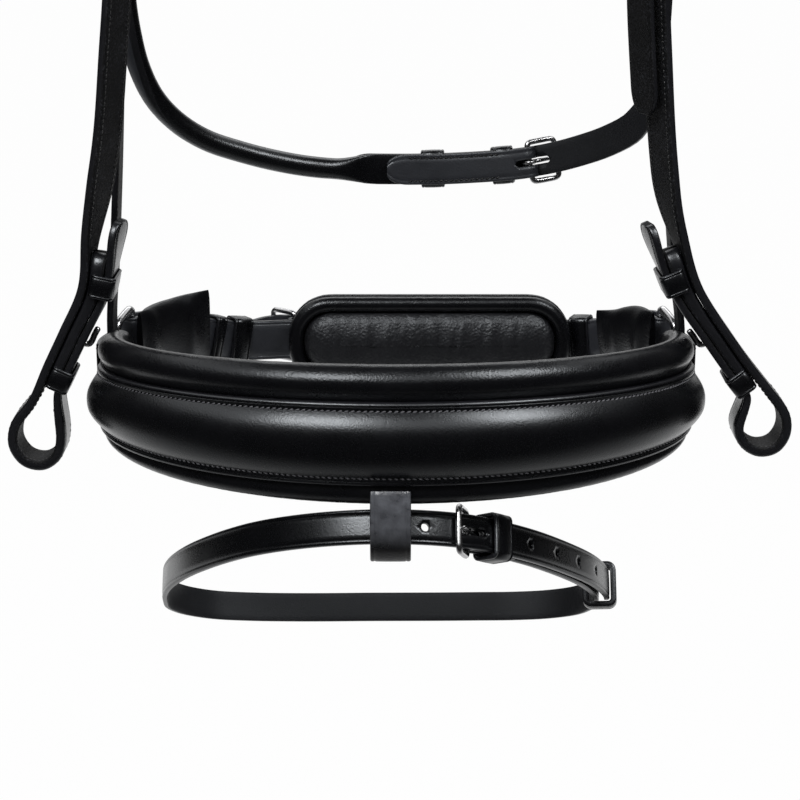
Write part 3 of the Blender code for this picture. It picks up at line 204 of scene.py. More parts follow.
def value(thing, where):
    return thing(where) if callable(thing) else thing


def ease(low, high, where):
    share = min(max((where - low) / (high - low), 0.0), 1.0)
    return share * share * (3 - 2 * share)


def steps(start, end, count):
    return [start + (end - start) * index / (count - 1) for index in range(count)]


def ring_at(line, place, section):
    """The points of a section, given as pairs across and up, set round a place on the line."""
    point, _, side, out = line.frame(place)
    return [point + side * across + out * up for across, up in section]


def circle(radius, count):
    """Pairs on a circle, each a little further round than the one before."""
    turns = steps(0, 2 * math.pi * (1 - 1 / count), count)
    return [(radius * math.cos(turn), radius * math.sin(turn)) for turn in turns]


def both_sides(right, shared=1):
    """A closed section from its right half, with that many points at each end shared by both halves."""
    return right + [(-across, up) for across, up in reversed(right[shared:len(right) - shared])]


def upright(y, pairs):
    """Points of a strap that hangs at one distance from the front."""
    return [Vector((x, y, z)) for x, z in pairs]


arch = Route([(x, 0.0, z) for x, z in ARCH] + [(-x, 0.0, z) for x, z in reversed(ARCH)], (0, 1, 0))
print("length over the poll in mm", round(arch.length))

# %% [markdown]
# ## Finishes
# Bridle leather is dyed right through, so the colour hardly changes. What the eye reads is the shine: small
# pores and a slow unevenness break it up, the cut edges are burnished smooth, and the flesh side drinks the
# light. The maths of a finish is written as sums of sockets, which keeps each material to a few lines.

# %% A socket that can be added and multiplied
class Socket:
    """One output of a material's tree, so that shader maths reads as Python."""

    def __init__(self, tree, link):
        self.tree, self.link = tree, link

    def maths(self, operation, first, second):
        node = self.tree.nodes.new("ShaderNodeMath")
        node.operation = operation
        for slot, thing in enumerate((first, second)):
            if isinstance(thing, Socket):
                self.tree.links.new(thing.link, node.inputs[slot])
            else:
                node.inputs[slot].default_value = thing
        return Socket(self.tree, node.outputs[0])

    def __add__(self, other):
        return self.maths("ADD", self, other)

    __radd__ = __add__

    def __sub__(self, other):
        return self.maths("SUBTRACT", self, other)

    def __rsub__(self, other):
        return self.maths("SUBTRACT", other, self)

    def __mul__(self, other):
        return self.maths("MULTIPLY", self, other)

    __rmul__ = __mul__


# %% A finish and its nodes
class Tree:
    """A node tree whose nodes are made with their settings and links in one line."""

    def __init__(self, tree):
        self.tree = tree

    def node(self, kind, settings=None, out=0, **sockets):
        """Any node: its settings first, then the values or links of its sockets."""
        node = self.tree.nodes.new(kind)
        for name, setting in (settings or {}).items():
            setattr(node, name, setting)
        for name, setting in sockets.items():
            socket = node.inputs[name.replace("_", " ")]
            if isinstance(setting, Socket):
                self.tree.links.new(setting.link, socket)
            else:
                socket.default_value = setting
        return Socket(self.tree, node.outputs[out])

    def graded(self, source, low, high):
        """0 below low, 1 over high and smooth between."""
        return self.node("ShaderNodeMapRange", {"interpolation_type": "SMOOTHSTEP"}, From_Min=low,
                         From_Max=high, Value=source)


class Finish(Tree):
    """A material whose even values sit on the shader and whose uneven ones are linked to it."""

    def __init__(self, name, **sockets):
        self.made = bpy.data.materials.new(name)
        self.made.use_nodes = True
        super().__init__(self.made.node_tree)
        self.shader = self.tree.nodes["Principled BSDF"]
        self.place = self.node("ShaderNodeTexCoord", out="Object")
        for socket, setting in sockets.items():
            self.shader.inputs[socket.replace("_", " ")].default_value = setting

    def cloud(self, size, detail=2.0):
        """Soft unevenness with spots of about that size in millimetres."""
        return self.node("ShaderNodeTexNoise", Vector=self.place, Scale=1 / (size * MM), Detail=detail)

    def pores(self, size):
        """Rounded cells of about that size in millimetres, 0 in the middle."""
        return self.node("ShaderNodeTexVoronoi", {"feature": "SMOOTH_F1"}, Vector=self.place,
                         Scale=1 / (size * MM), Randomness=1.0)

    def colour(self, dark, light, share):
        """Base colour between two tones."""
        mix = self.tree.nodes.new("ShaderNodeMix")
        mix.data_type = "RGBA"
        for socket in mix.inputs:
            if socket.type == "RGBA":
                socket.default_value = (*(dark if socket.name == "A" else light), 1)
        self.tree.links.new(share.link, mix.inputs["Factor"])
        result = next(socket for socket in mix.outputs if socket.type == "RGBA")
        self.tree.links.new(result, self.shader.inputs["Base Color"])
        return self

    def link(self, name, source):
        self.tree.links.new(source.link, self.shader.inputs[name])
        return self

    def bump(self, height, strength, depth):
        """Relief of that depth in millimetres."""
        return self.link("Normal", self.node("ShaderNodeBump", Height=height, Strength=strength,
                                             Distance=depth * MM))

# %% [markdown]
# A map could paint the leather, but noise and rounded cells read straight from the object's place give
# pores and clouds at their true size on every strap, without a seam. The grain side is glossy, the cut
# edges are burnished smooth and a little lighter, and the flesh side is matte and slightly furry. Three
# finishes hold painted light: a paler copy of the grain side is a painted sheen, a pale thread is a
# painted glint on the noseband's stitches, and the sling's upper part is a painted highlight.

# %% Leather, thread and steel
def grain_leather(name, dark, light, shine, pore, depth, mirror=0.8):
    """Smooth dyed leather: pores in the relief, clouds in the shine."""
    made = Finish(name, Specular_IOR_Level=mirror, Specular_Tint=(0.92, 0.96, 1.0, 1.0))
    clouds = made.cloud(14.0, 3.0)
    fine = made.cloud(1.1, 2.0)
    pores = made.pores(pore)
    made.colour(dark, light, clouds)
    made.link("Roughness", shine + 0.1 * clouds + 0.08 * fine)
    made.bump(0.7 * pores + 0.5 * fine + 0.6 * clouds, 1.0, depth)
    return made.made


def flesh_leather():
    """The inner side of a strap: matte, with short fibres."""
    made = Finish("flesh_side", Specular_IOR_Level=0.3)
    clouds = made.cloud(9.0, 4.0)
    fibres = made.cloud(0.8, 3.0)
    lit = made.node("ShaderNodeMapRange", From_Min=0.52, From_Max=0.74, Value=0.75 * fibres + 0.25 * clouds)
    made.colour((0.0022, 0.0024, 0.0032), (0.034, 0.036, 0.044), lit)
    made.link("Roughness", 0.5 + 0.3 * fibres)
    made.bump(fibres + 0.5 * clouds, 1.0, 0.25)
    return made.made


def sling_painted_highlight():
    """The flash strap's sling with a painted highlight: pale on its upper part, where its front leans out,
    mottled, and dark below.
    """
    made = Finish("sling_painted_highlight", Specular_IOR_Level=1.0)
    clouds = made.cloud(4.0, 4.0)
    height = made.node("ShaderNodeSeparateXYZ", out="Z", Vector=made.place)
    # Painted highlight: by height, the colour turns pale over the upper part and stays dark below.
    rubbing_and_painted_highlight = made.node("ShaderNodeMapRange", From_Min=-0.463, From_Max=-0.454, Value=height)
    made.colour((0.003, 0.003, 0.004), (0.13, 0.137, 0.156), rubbing_and_painted_highlight * (0.1 + 1.1 * clouds))
    made.link("Roughness", 0.2 + 0.2 * clouds)
    made.bump(made.pores(0.8) + clouds, 1.0, 0.08)
    return made.made


def waxed_thread(name, dark, light):
    """Thin thread, twisted and waxed."""
    made = Finish(name, Specular_IOR_Level=0.6)
    twist = made.cloud(0.5, 1.0)
    made.colour(dark, light, twist)
    made.link("Roughness", 0.26 + 0.2 * twist)
    return made.made


def polished_steel():
    """Stainless steel from the polishing wheel, with faint rubbing marks."""
    made = Finish("polished_steel", Metallic=1.0)
    rubbing_and_painted_highlight = made.cloud(3.0, 4.0)
    fine = made.cloud(0.35, 2.0)
    made.colour((0.58, 0.58, 0.59), (0.74, 0.74, 0.75), rubbing_and_painted_highlight)
    made.link("Roughness", 0.13 + 0.12 * rubbing_and_painted_highlight + 0.05 * fine)
    made.bump(fine, 0.25, 0.03)
    return made.made


GRAIN = grain_leather("grain_side", (0.0012, 0.0012, 0.0018), (0.003, 0.003, 0.0042), 0.19, 0.6, 0.045)
# A paler, glossier copy of the grain side, whose lighter colour is a painted sheen.
GRAIN_PAINTED_SHEEN = grain_leather("grain_painted_sheen", (0.014, 0.015, 0.019), (0.036, 0.038, 0.046), 0.3, 0.8, 0.05, 1.0)
PRESSED = grain_leather("pressed_flesh", (0.006, 0.0064, 0.008), (0.011, 0.0115, 0.014), 0.5, 0.6, 0.05, 0.5)
SLING_PAINTED_HIGHLIGHT = sling_painted_highlight()
EDGE = grain_leather("burnished_edge", (0.005, 0.005, 0.0065), (0.012, 0.012, 0.015), 0.22, 0.9, 0.05, 1.0)
FLESH = flesh_leather()
SOFT = grain_leather("soft_lining", (0.0018, 0.0018, 0.0026), (0.0046, 0.0046, 0.006), 0.20, 0.7, 0.08, 0.6)
PEBBLED = grain_leather("pebbled_pad", (0.005, 0.005, 0.0065), (0.012, 0.012, 0.0145), 0.36, 1.1, 0.3)
THREAD = waxed_thread("waxed_thread", (0.003, 0.003, 0.0035), (0.009, 0.009, 0.01))
# Thread far paler than the black thread elsewhere: a painted glint.
THREAD_PAINTED_GLINT = waxed_thread("thread_painted_glint", (0.05, 0.05, 0.056), (0.15, 0.15, 0.165))
STEEL = polished_steel()
STRAP_LOOKS = (GRAIN, EDGE, FLESH)
print("finishes", [look.name for look in bpy.data.materials])

# %% [markdown]
# ## From a flat grid to a strap
# A strap could be a cube stretched and bent, but its edges are rounded, a crease is pressed along each of
# them and the tip narrows. Instead a flat grid is added and wrapped round the strap's section at each step
# along its route, like leather round a last. Then the seam is merged, the ends are filled and the normals
# are made to point out.

# %% Wrap a grid round rings of points
SMOOTH_BELOW = 42.0


def only(piece):
    """Selects one piece and nothing else."""
    bpy.ops.object.select_all(action="DESELECT")
    piece.select_set(True)
    bpy.context.view_layer.objects.active = piece


def wrap(name, rings, closed=False, zones=None, looks=(GRAIN,)):
    around = len(rings[0])
    rows = rings + [rings[0]] if closed else rings
    bpy.ops.object.select_all(action="DESELECT")
    bpy.ops.mesh.primitive_grid_add(x_subdivisions=around, y_subdivisions=len(rows) - 1, size=1)
    piece = bpy.context.object
    piece.name = piece.data.name = name
    places = np.array([[*ring, ring[0]] for ring in rows], dtype=np.float32) * MM
    piece.data.vertices.foreach_set("co", places.ravel())
    for look in looks:
        piece.data.materials.append(look)
    if zones:
        piece.data.polygons.foreach_set("material_index", zones * (len(rows) - 1))
    bpy.ops.object.mode_set(mode="EDIT")
    bpy.ops.mesh.select_all(action="SELECT")
    bpy.ops.mesh.remove_doubles(threshold=2e-6)
    if not closed:
        bpy.ops.mesh.fill_holes(sides=0)
    bpy.ops.mesh.select_all(action="SELECT")
    bpy.ops.mesh.normals_make_consistent(inside=False)
    bpy.ops.object.mode_set(mode="OBJECT")
    bpy.ops.object.shade_smooth_by_angle(angle=math.radians(SMOOTH_BELOW))
    return piece


# %% The section of a strap
def corner(across, up, reach, first, last, count):
    """Points on a rounded corner, from one angle to the other in degrees."""
    return [(across + reach * math.cos(math.radians(turn)), up + reach * math.sin(math.radians(turn)))
            for turn in steps(first, last, count)]


CREASE_IN, CREASE_HALF = 1.7, 0.42


def strap_section(width, low, high, grain=1):
    """Rounded edges, a flat flesh side and a grain side with a crease pressed in along each edge."""
    half, thick = width / 2, high - low
    under, over = thick * 0.2, thick * 0.36
    deep = min(0.28, thick * 0.1)
    inset = min(CREASE_IN, half * 0.42)
    right = [(0, 0), (half * 0.6, 0)]
    right += corner(half - under, under, under, -90, 0, 3)
    right += corner(half - over, thick - over, over, 0, 90, 5)
    right += [(half - inset + CREASE_HALF, thick - 0.02), (half - inset, thick - deep),
              (half - inset - CREASE_HALF, thick + 0.02), (half * 0.45, thick + 0.06), (0, thick + 0.08)]
    return [(across, low + up if grain > 0 else high - up) for across, up in both_sides(right)]


HALF_ZONES = [2, 2, 2, 2, 1, 1, 1, 0, 0, 0, 0, 0, 0, 0]
STRAP_ZONES = HALF_ZONES + HALF_ZONES[::-1]
print("points round a strap", len(strap_section(16, 0, 3)), "faces round it", len(STRAP_ZONES))


# %% Steps along a strap, and the strap
TIP_SHARES = (0.0, 0.015, 0.05, 0.12, 0.22, 0.36, 0.52, 0.7, 0.85, 1.0)
END_ROUND = 0.35


def paces(line, start, end, pitch=4.0, tips=(0, 0)):
    """Distances from start to end, closer together at bends and rounded tips."""
    head, tail = tips
    places = [start + head * share for share in TIP_SHARES] if head else [start, start + END_ROUND]
    stop = end - (tail or END_ROUND)
    while places[-1] < stop - 0.05:
        here = places[-1]
        forward = line.frame(here)[1]
        step = pitch
        while step > 0.3 and forward.angle(line.frame(min(here + step, end))[1]) > 0.15:
            step *= 0.7
        places.append(here + step)
    places[-1] = stop
    if tail:
        return places + [end - tail * share for share in TIP_SHARES[-2::-1]]
    return places + [end]


def part_strap(name, line, start, end, width, low, high, grain=1, tips=(0, 0), pitch=4.0,
               section=strap_section, looks=STRAP_LOOKS):
    """A strap along part of the line, with its lower and upper face at low and high."""
    rings = []
    head, tail = tips
    places = paces(line, start, end, pitch, tips)
    for place in places:
        wide, base, top = value(width, place), value(low, place), value(high, place)
        for length, reach in ((head, place - start), (tail, end - place)):
            if length and reach < length:
                wide *= 0.3 + 0.7 * math.sqrt(max(0.0, 1 - (1 - reach / length) ** 2))
        if place in (places[0], places[-1]):
            wide, base, top = wide - 0.6, base + 0.2, top - 0.2
        rings.append(ring_at(line, place, section(wide, base, top, grain)))
    return wrap(name, rings, False, STRAP_ZONES, looks)


def strap(name, line, width, half, **more):
    """A strap from end to end of its line, with half its thickness to each side of it."""
    return part_strap(name, line, 0, line.length, width, lambda place: -value(half, place), half, **more)


def after_fold(thick, first, last):
    """Half the thickness of a strap whose folded end is pared thin, full again between two places."""
    return lambda place: (CHAPE_THICK + (thick - CHAPE_THICK) * ease(first, last, place)) / 2


def under_fold(thick):
    """Where the middle of a strap runs below its own folded end."""
    return -(GAP + CHAPE_THICK + GAP + thick / 2)


# %% [markdown]
# ## Keepers, wire and thread
# A keeper is a leather band sewn round the straps, so its section is wrapped round a rounded rectangle.
# Buckles, tongues and rings are round wire: the same wrap with a circle for a section. A hook or pipe made
# from a curve would do as well, but this way a bar can taper and its end can be rounded off.

# %% Put a finished piece on its body
def fit(piece, *nodes, slot="black_leather", body=None):
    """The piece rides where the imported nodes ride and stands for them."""
    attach(piece, body or body_of[nodes[0]])
    if nodes:
        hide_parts(*nodes)


def soft(name, rings, node, look=SOFT):
    """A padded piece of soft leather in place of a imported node."""
    piece = wrap(name, rings, looks=(look,))
    fit(piece, node, slot="soft_leather")
    print(name, "faces", len(piece.data.polygons))


# %% A keeper
def band(name, spot, low, high, half, long, thick=KEEPER_THICK):
    """A leather band round a stack of straps. The spot is a point and three directions."""
    point, forward, side, out = spot
    end = long / 2
    face = [(end, thick * 0.3), (end - 0.12, thick * 0.75), (end - 0.45, thick), (end - 1.0, thick),
            (end - 1.3, thick - 0.2), (end - 1.6, thick), (0, thick + 0.06)]
    section = [(-end + 0.2, 0), (end - 0.2, 0), *face]
    section += [(-along, deep) for along, deep in reversed(face[:-1])]
    round_in = min(0.9, half * 0.3, (high - low) * 0.3)
    rings = []
    for across, up, first in ((1, 1, 0), (-1, 1, 90), (-1, -1, 180), (1, -1, 270)):
        centre_across = across * (half - round_in)
        centre_up = (high if up > 0 else low) - up * round_in
        for turn in steps(first + 2, first + 88, 7):
            lead = side * math.cos(math.radians(turn)) + out * math.sin(math.radians(turn))
            centre = point + side * centre_across + out * centre_up
            rings.append([centre + lead * (round_in + GAP + deep) + forward * along
                          for along, deep in section])
    zones = [2, 1, 1, 1, 0, 0, 0, 0, 0, 0, 0, 0, 1, 1, 1]
    return wrap(name, rings, True, zones, STRAP_LOOKS)


# %% Round wire
def wire(name, node, path, radius, flat, closed=False, sides=14):
    """Bright wire along a path that lies in one plane, whose direction across is flat."""
    route = Route(path, flat, closed, steps=6)
    count = max(12, int(route.length / 0.7))
    if closed:
        places = [route.length * index / count for index in range(count)]
    else:
        places = [0, 0.08, 0.25, 0.5, 0.85] + steps(1.3, route.length - 1.3, count)
        places += [route.length - near for near in (0.85, 0.5, 0.25, 0.08, 0)]
    rings = []
    for place in places:
        size = value(radius, place / route.length)
        if not closed:
            near = min(place, route.length - place)
            size *= math.sqrt(max(0.01, 1 - (1 - min(near / 1.1, 1)) ** 2))
        rings.append(ring_at(route, place, circle(size, sides)))
    fit(wrap(name, rings, closed, looks=(STEEL,)), node, slot="bright_steel")


def bent_corners(corners, bend):
    """The corners of a wire frame, each rounded off."""
    path = []
    for index, middle in enumerate(corners):
        back = (corners[index - 1] - middle).normalized()
        on = (corners[(index + 1) % len(corners)] - middle).normalized()
        one, two = middle + back * bend, middle + on * bend
        for share in steps(0, 1, 6):
            path.append(one.lerp(middle, share).lerp(middle.lerp(two, share), share))
    return path


# %% [markdown]
# A row of stitches could be a dashed line in the material, but thread stands out of its groove and catches
# the light. One small stitch is modelled from a sphere, and each row is a mesh of copies of it that follow
# the seam.

# %% One stitch
STITCH_PITCH, STITCH_LONG, STITCH_THICK, STITCH_LEAN = 2.2, 1.9, 0.8, math.radians(22)
bpy.ops.object.select_all(action="DESELECT")
bpy.ops.mesh.primitive_uv_sphere_add(segments=6, ring_count=5, radius=0.5)
stitch = bpy.context.object
bpy.ops.object.mode_set(mode="EDIT")
bpy.ops.mesh.select_all(action="SELECT")
bpy.ops.transform.rotate(value=math.radians(90), orient_axis="Y", center_override=(0, 0, 0))
bpy.ops.transform.resize(value=(STITCH_LONG, STITCH_THICK, STITCH_THICK))
bpy.ops.object.mode_set(mode="OBJECT")
stitch_points = np.array([point.co for point in stitch.data.vertices])
stitch_faces = [list(face.vertices) for face in stitch.data.polygons]
bpy.data.objects.remove(stitch)
print("faces in a stitch", len(stitch_faces))


# %% Rows of stitches
def seam(line, start, end, across, up):
    """Frames of the stitches along a line, on both its sides at a distance across it, and over it."""
    count = max(2, round((end - start) / STITCH_PITCH))
    made = []
    for sign in (-1, 1):
        for index in range(count):
            place = start + (end - start) * (index + 0.5) / count
            point, forward, side, out = line.frame(place)
            shift = sign * value(across, place)
            turn = STITCH_LEAN * sign
            along = forward * math.cos(turn) + side * math.sin(turn)
            made.append((point + side * shift + out * up, along, out))
    return made


def sew(name, frames, body, look=THREAD):
    """One mesh for all the stitches of a piece, on its body."""
    points, faces = [], []
    for index, (point, along, out) in enumerate(frames):
        turned = np.array((along, out.cross(along), out))
        points.append(stitch_points @ turned + np.array(point))
        faces += [[number + index * len(stitch_points) for number in face] for face in stitch_faces]
    mesh = bpy.data.meshes.new(name)
    mesh.from_pydata(np.concatenate(points) * MM, [], faces)
    mesh.materials.append(look)
    piece = bpy.data.objects.new(name, mesh)
    bpy.context.scene.collection.objects.link(piece)
    only(piece)
    bpy.ops.object.shade_smooth()
    fit(piece, body=body)


# %% [markdown]
# Holes are punched with a tool whose upper end flares a little, because a real punch presses the rim down
# and the rim catches the light. A Boolean takes the tool out of the strap and is then applied.

# %% Punch holes
def punch_tool(spot, radius, low, top, long=0.0, flare=0.3):
    """A round or long tool along the outward direction, flared where it enters the face at top."""
    point, forward, side, out = spot
    rings = []
    mouth = radius + flare
    for up, wide in ((low, radius), (top - flare, radius), (top + 0.05, mouth), (top + 3, mouth)):
        ring = []
        for along, across in circle(wide, 20):
            along += math.copysign(long / 2, along) if abs(along) > 0.01 else 0
            ring.append(point + forward * along + side * across + out * up)
        rings.append(ring)
    return wrap("punch", rings)


def punch(piece, *tools):
    for tool in tools:
        only(piece)
        step = piece.modifiers.new("punched", "BOOLEAN")
        step.operation, step.solver, step.object = "DIFFERENCE", "EXACT", tool
        bpy.ops.object.modifier_apply(modifier=step.name)
        bpy.data.objects.remove(tool)
    return piece


def shifted(spot, by):
    """The same spot further on along its strap."""
    point, forward, side, out = spot
    return point + forward * by, forward, side, out


def holes(spots, radius, low, top, **more):
    return [punch_tool(spot, radius, low, top, **more) for spot in spots]


# %% [markdown]
# ## Buckles
# Every buckle on this bridle is the same pattern in four widths: a square wire frame whose rear bar lies
# under the strap and whose front bar stands over it, and a tongue curled round the rear bar. It could be
# cut from a plate, but a real one is bent from wire, so the frame and the tongue are wire here too.

# %% A buckle and its tongue
def buckle(prefix, spot, strap_width, strap_thick):
    point, forward, side, out = spot
    half = strap_width / 2 + 0.7 + WIRE
    front = strap_thick + 0.25 + WIRE
    corners = [point + forward * along + side * across + out * up for along, across, up in (
        (0, -half, BAR_DEPTH), (0, half, BAR_DEPTH), (BUCKLE_LONG, half, front), (BUCKLE_LONG, -half, front))]
    rise = Vector((BUCKLE_LONG, front - BAR_DEPTH)).normalized()
    flat = (forward * -rise.y + out * rise.x).normalized()
    wire(prefix + "_frame_steel", prefix + "_buckle", bent_corners(corners, 2.2), WIRE, flat,
         closed=True, sides=16)
    across = Vector((-rise.y, rise.x))
    reach = WIRE + TONGUE_GAP + TONGUE_WIRE
    long = math.hypot(BUCKLE_LONG, front - BAR_DEPTH) + 1.8
    path = [across * reach + rise * (long * share) for share in (1.0, 0.94, 0.8, 0.6, 0.4, 0.25, 0.1)]
    first = math.atan2(across.y, across.x)
    path += [Vector((reach * math.cos(first + turn), reach * math.sin(first + turn)))
             for turn in steps(0.0, math.radians(285), 13)]
    path = [point + forward * flat_point.x + out * (flat_point.y + BAR_DEPTH) for flat_point in path]
    wire(prefix + "_tongue_steel", prefix + "_tongue", path,
         lambda share: TONGUE_WIRE * (0.72 + 0.28 * ease(0, 0.2, share)), side, sides=12)


def tongue_slot(spot):
    """The long slot in the folded strap end that lets the tongue through."""
    return punch_tool(shifted(spot, 1.25), 1.5, BAR_DEPTH - 6.0, 0.6, long=10.5, flare=0.0)


def pin_hole(spot, thick):
    """The hole that the tongue's point goes through."""
    return punch_tool(shifted(spot, 3.1), 1.5, -1.0, thick, long=7.0, flare=0.2)


def straight(spot):
    """Places by distance back from the bar and height over the strap, on a straight strap."""
    point, forward, _, out = spot
    return lambda back, up: point - forward * back + out * up


def bent(line, place, sign):
    """The same on a curved line, with the bar at a place on it and back along it by the sign."""
    def at(back, up):
        point, _, _, out = line.frame(place + sign * back)
        return point + out * up

    return at


def fold_points(at, back, main_off, settle=14.0):
    """Middle of the folded end: in along the upper leaf, round the bar, and out as the lower leaf."""
    reach = WIRE + BAR_ROOM + CHAPE_THICK / 2
    leaf = -(GAP + CHAPE_THICK / 2)
    made = [at(back * share, leaf) for share in (1.0, 0.6, 0.3)]
    for angle in steps(math.pi / 2, -math.pi / 2, 8):
        made.append(at(-reach * math.cos(angle), BAR_DEPTH + reach * math.sin(angle)))
    made.append(at(settle * 0.45, (BAR_DEPTH - reach) * 0.55 + main_off * 0.45))
    made.append(at(settle, main_off))
    return made


def beside(x, y, z, side):
    """A spot on an upright strap, with its outward direction away from the horse."""
    return Vector((x, y, z)), Vector((0, 0, 1)), Vector((0, 1, 0)), Vector((side, 0, 0))

# %% [markdown]
# ## Crown
# The headpiece is one strap over the poll, slit at each side into a front billet for the cheekpiece and a
# rear strap for the throatlatch. It could be one mesh pulled apart with a knife, but each branch bends its
# own way, so the branches are straps of their own that start inside the crown. The lining under it is a
# padded strip.

# %% Padded shapes from a few points
def soft_loop(points, count=5):
    """A smooth closed section through a few points."""
    flat = [Vector((across, up, 0)) for across, up in points]
    loop = []
    for index in range(len(flat)):
        four = neighbours(flat, index, True)
        loop += [catmull(four, step / count) for step in range(count)]
    return [(point.x, point.y) for point in loop]


def crumple(rings, amount, size, stretch=(1, 1, 1)):
    """Small dents and folds, pushed out from the middle of each ring."""
    made = []
    for ring in rings:
        middle = sum(ring, Vector()) / len(ring)
        row = []
        for point in ring:
            spot = Vector((point.x * stretch[0], point.y * stretch[1], point.z * stretch[2])) / size
            row.append(point + (point - middle).normalized() * (amount * noise.noise(spot)))
        made.append(row)
    return made


def pad_rings(line, places, section):
    return [ring_at(line, place, section(place)) for place in places]


# %% Poll pad
def poll_section(place):
    shrink = 1.4 * (1 - ease(0, 3, min(place - start, end - place)))
    half, top = 23 - shrink, POLL_PAD_THICK - shrink
    return soft_loop(both_sides([(half - 9, shrink), (half - 3, shrink), (half - 0.6, 2.2), (half, 4.0),
                                 (half - 1.6, top - 1.2), (half - 6, top), (half - 14, top)], 0))


start, end = arch.near((-86, 0, -52)), arch.near((86, 0, -52))
soft("poll_pad_soft", crumple(pad_rings(arch, steps(start, end, 110), poll_section), 0.35, 7.0), "poll_pad")

# %% Headpiece
crown_low = POLL_PAD_THICK + GAP + HANGER_THICK + GAP
crown_start, crown_end = arch.near((-89, 0, -60)), arch.near((89, 0, -60))
fit(part_strap("headpiece_crown", arch, crown_start, crown_end, CROWN_WIDTH, crown_low,
               crown_low + CROWN_THICK, tips=(9, 9), pitch=3.0), "headpiece")
sew("crown_stitching", seam(arch, crown_start + 10, crown_end - 10, 17.2, crown_low + CROWN_THICK), "bridle")
BUCKLE_X = {"left": -101.4, "right": 94.8}


def cheek_twist(side):
    """The cheekpiece turns its inner face a little to the front between the buckle and the keepers."""
    def direction(point):
        share = ease(-388, -340, point.z) * (1 - ease(-274, -243, point.z))
        angle = math.radians(27) * share
        return Vector((math.sin(angle), -side * math.cos(angle), 0))

    return direction


def crown_branch(side, word, tail):
    """One end of the slit crown: the cheek billet in front or the throat strap behind."""
    to_cheek = tail == "cheek"
    knots = []
    for x, z, back in ((80, -40, 11.5), (87.0, -53, 14.0), (91.8, -72, 18.0)):
        point, _, _, out = arch.frame(arch.near((x * side, 0, z)))
        aside = Vector((0, -11.5 if to_cheek else back, 0))
        knots.append(point + out * (crown_low + CROWN_THICK / 2) + aside)
    if to_cheek:
        x = BUCKLE_X[word]
        knots += upright(CHEEK_Y, ((side * 106.2, BROW_Z + 4), (x + side * 2.2, BUCKLE_Z + 36),
                                   (x, BUCKLE_Z + 14), (x, BUCKLE_Z - 20), (x - side * 0.1, BUCKLE_Z - 42),
                                   *BILLET_END[word]))
    else:
        knots.append(Vector((side * 106.0, 25, -94)))
        knots += upright(THROAT_Y, ((side * 106.4, BROW_Z), (side * 107.5, -146)))
    thick = FLASH_THICK if to_cheek else THROAT_THICK
    turned = cheek_twist(side)
    line = Route(knots, (lambda point: turned(point) * -side) if to_cheek else (0, 1, 0))

    def half(place):
        return (CROWN_THICK - 0.1 + (thick - CROWN_THICK + 0.1) * ease(20, 60, place)) / 2

    width, tip = (CHEEK_WIDTH, 10) if to_cheek else (THROAT_WIDTH + 1, 7)
    piece = strap(f"{tail}_branch_{word}", line, width, half, grain=side, tips=(0, tip))
    if to_cheek:
        centre = beside(x, CHEEK_Y, BUCKLE_Z, -side)
        tools = holes([shifted(centre, drop) for drop in (-26, -38)], 1.9, -3, half(line.length))
        punch(piece, *tools, punch_tool(shifted(centre, 3.1), 1.5, -3, 3, long=7.0, flare=0.0))
    fit(piece, body="bridle")


for side, word in SIDES:
    for tail in ("cheek", "throat"):
        crown_branch(side, word, tail)
print("crown length over the poll in mm", round(crown_end - crown_start))

# %% [markdown]
# ## Browband
# The browband crosses the forehead, and each end is turned back into a loop that slides on the straps of
# the headpiece. It is one strap on a route that includes both loops. A padded lining lies behind the front
# stretch.

# %% Browband and its lining
def brow_route():
    rear, front = THROAT_Y + 11.5, CHEEK_Y - 12.0
    outer, inner = 112.6, 98.8
    knots = []
    for x, y in ((-inner, front + 3), (-inner, 0), (-inner, rear - 3.5), (-(inner + 2), rear - 0.6),
                 (-(outer - 2), rear - 0.6), (-outer, rear - 3.5), (-outer, 0), (-outer, front)):
        knots.append((x, y, BROW_Z))
    for step in range(1, 12):
        turn = math.pi * step / 12
        forward = front - BROW_REACH * math.sin(turn) ** 0.8
        knots.append((-(outer - 0.5) * math.cos(turn), forward, BROW_Z - BROW_DIP * math.sin(turn) ** 2))
    knots += [(-x, y, z) for x, y, z in reversed(knots[:8])]
    return Route(knots, (0, 0, -1))


brow = brow_route()
brow_middle = brow.length / 2


def brow_tall(place):
    return BROW_TALL + 2.0 * (1 - ease(60, 150, abs(place - brow_middle)))


fit(strap("browband_leather", brow, brow_tall, 1.3, grain=-1, pitch=3.0), "browband")
lining_start, lining_end = brow.near((-103, -58, BROW_Z)), brow.near((103, -58, BROW_Z))
rows = seam(brow, lining_start, lining_end, lambda place: brow_tall(place) / 2 - 3.0, -1.32)
sew("browband_stitching", rows, "browband")


def brow_cushion(place):
    near = min(place - lining_start, lining_end - place)
    half, deep = (brow_tall(place) + 3) / 2, 4.0 * (0.55 + 0.45 * ease(0, 8, near))
    right = [(half - 5, 1.6), (half - 1.4, 1.6), (half - 0.3, 2.3), (half, 1.6 + deep * 0.6),
             (half - 1.5, 1.6 + deep), (half - 6, 1.6 + deep)]
    return soft_loop(both_sides(right, 0), 4)


rings = crumple(pad_rings(brow, steps(lining_start, lining_end, 130), brow_cushion), 0.25, 6.0)
soft("browband_cushion", rings, "browband_lining")
print("browband length with its loops in mm", round(brow.length))

# %% [markdown]
# ## Cheekpieces
# Each cheekpiece is one strap: folded round its buckle at the top, down the face, round the loop that holds
# the bit, and up again on the inner side, where it hooks on a stud and lies under two keepers. Real makers
# sew a filler between the layers. One sweep along one route keeps the fold, the loop and the turned-up end
# a single strap.

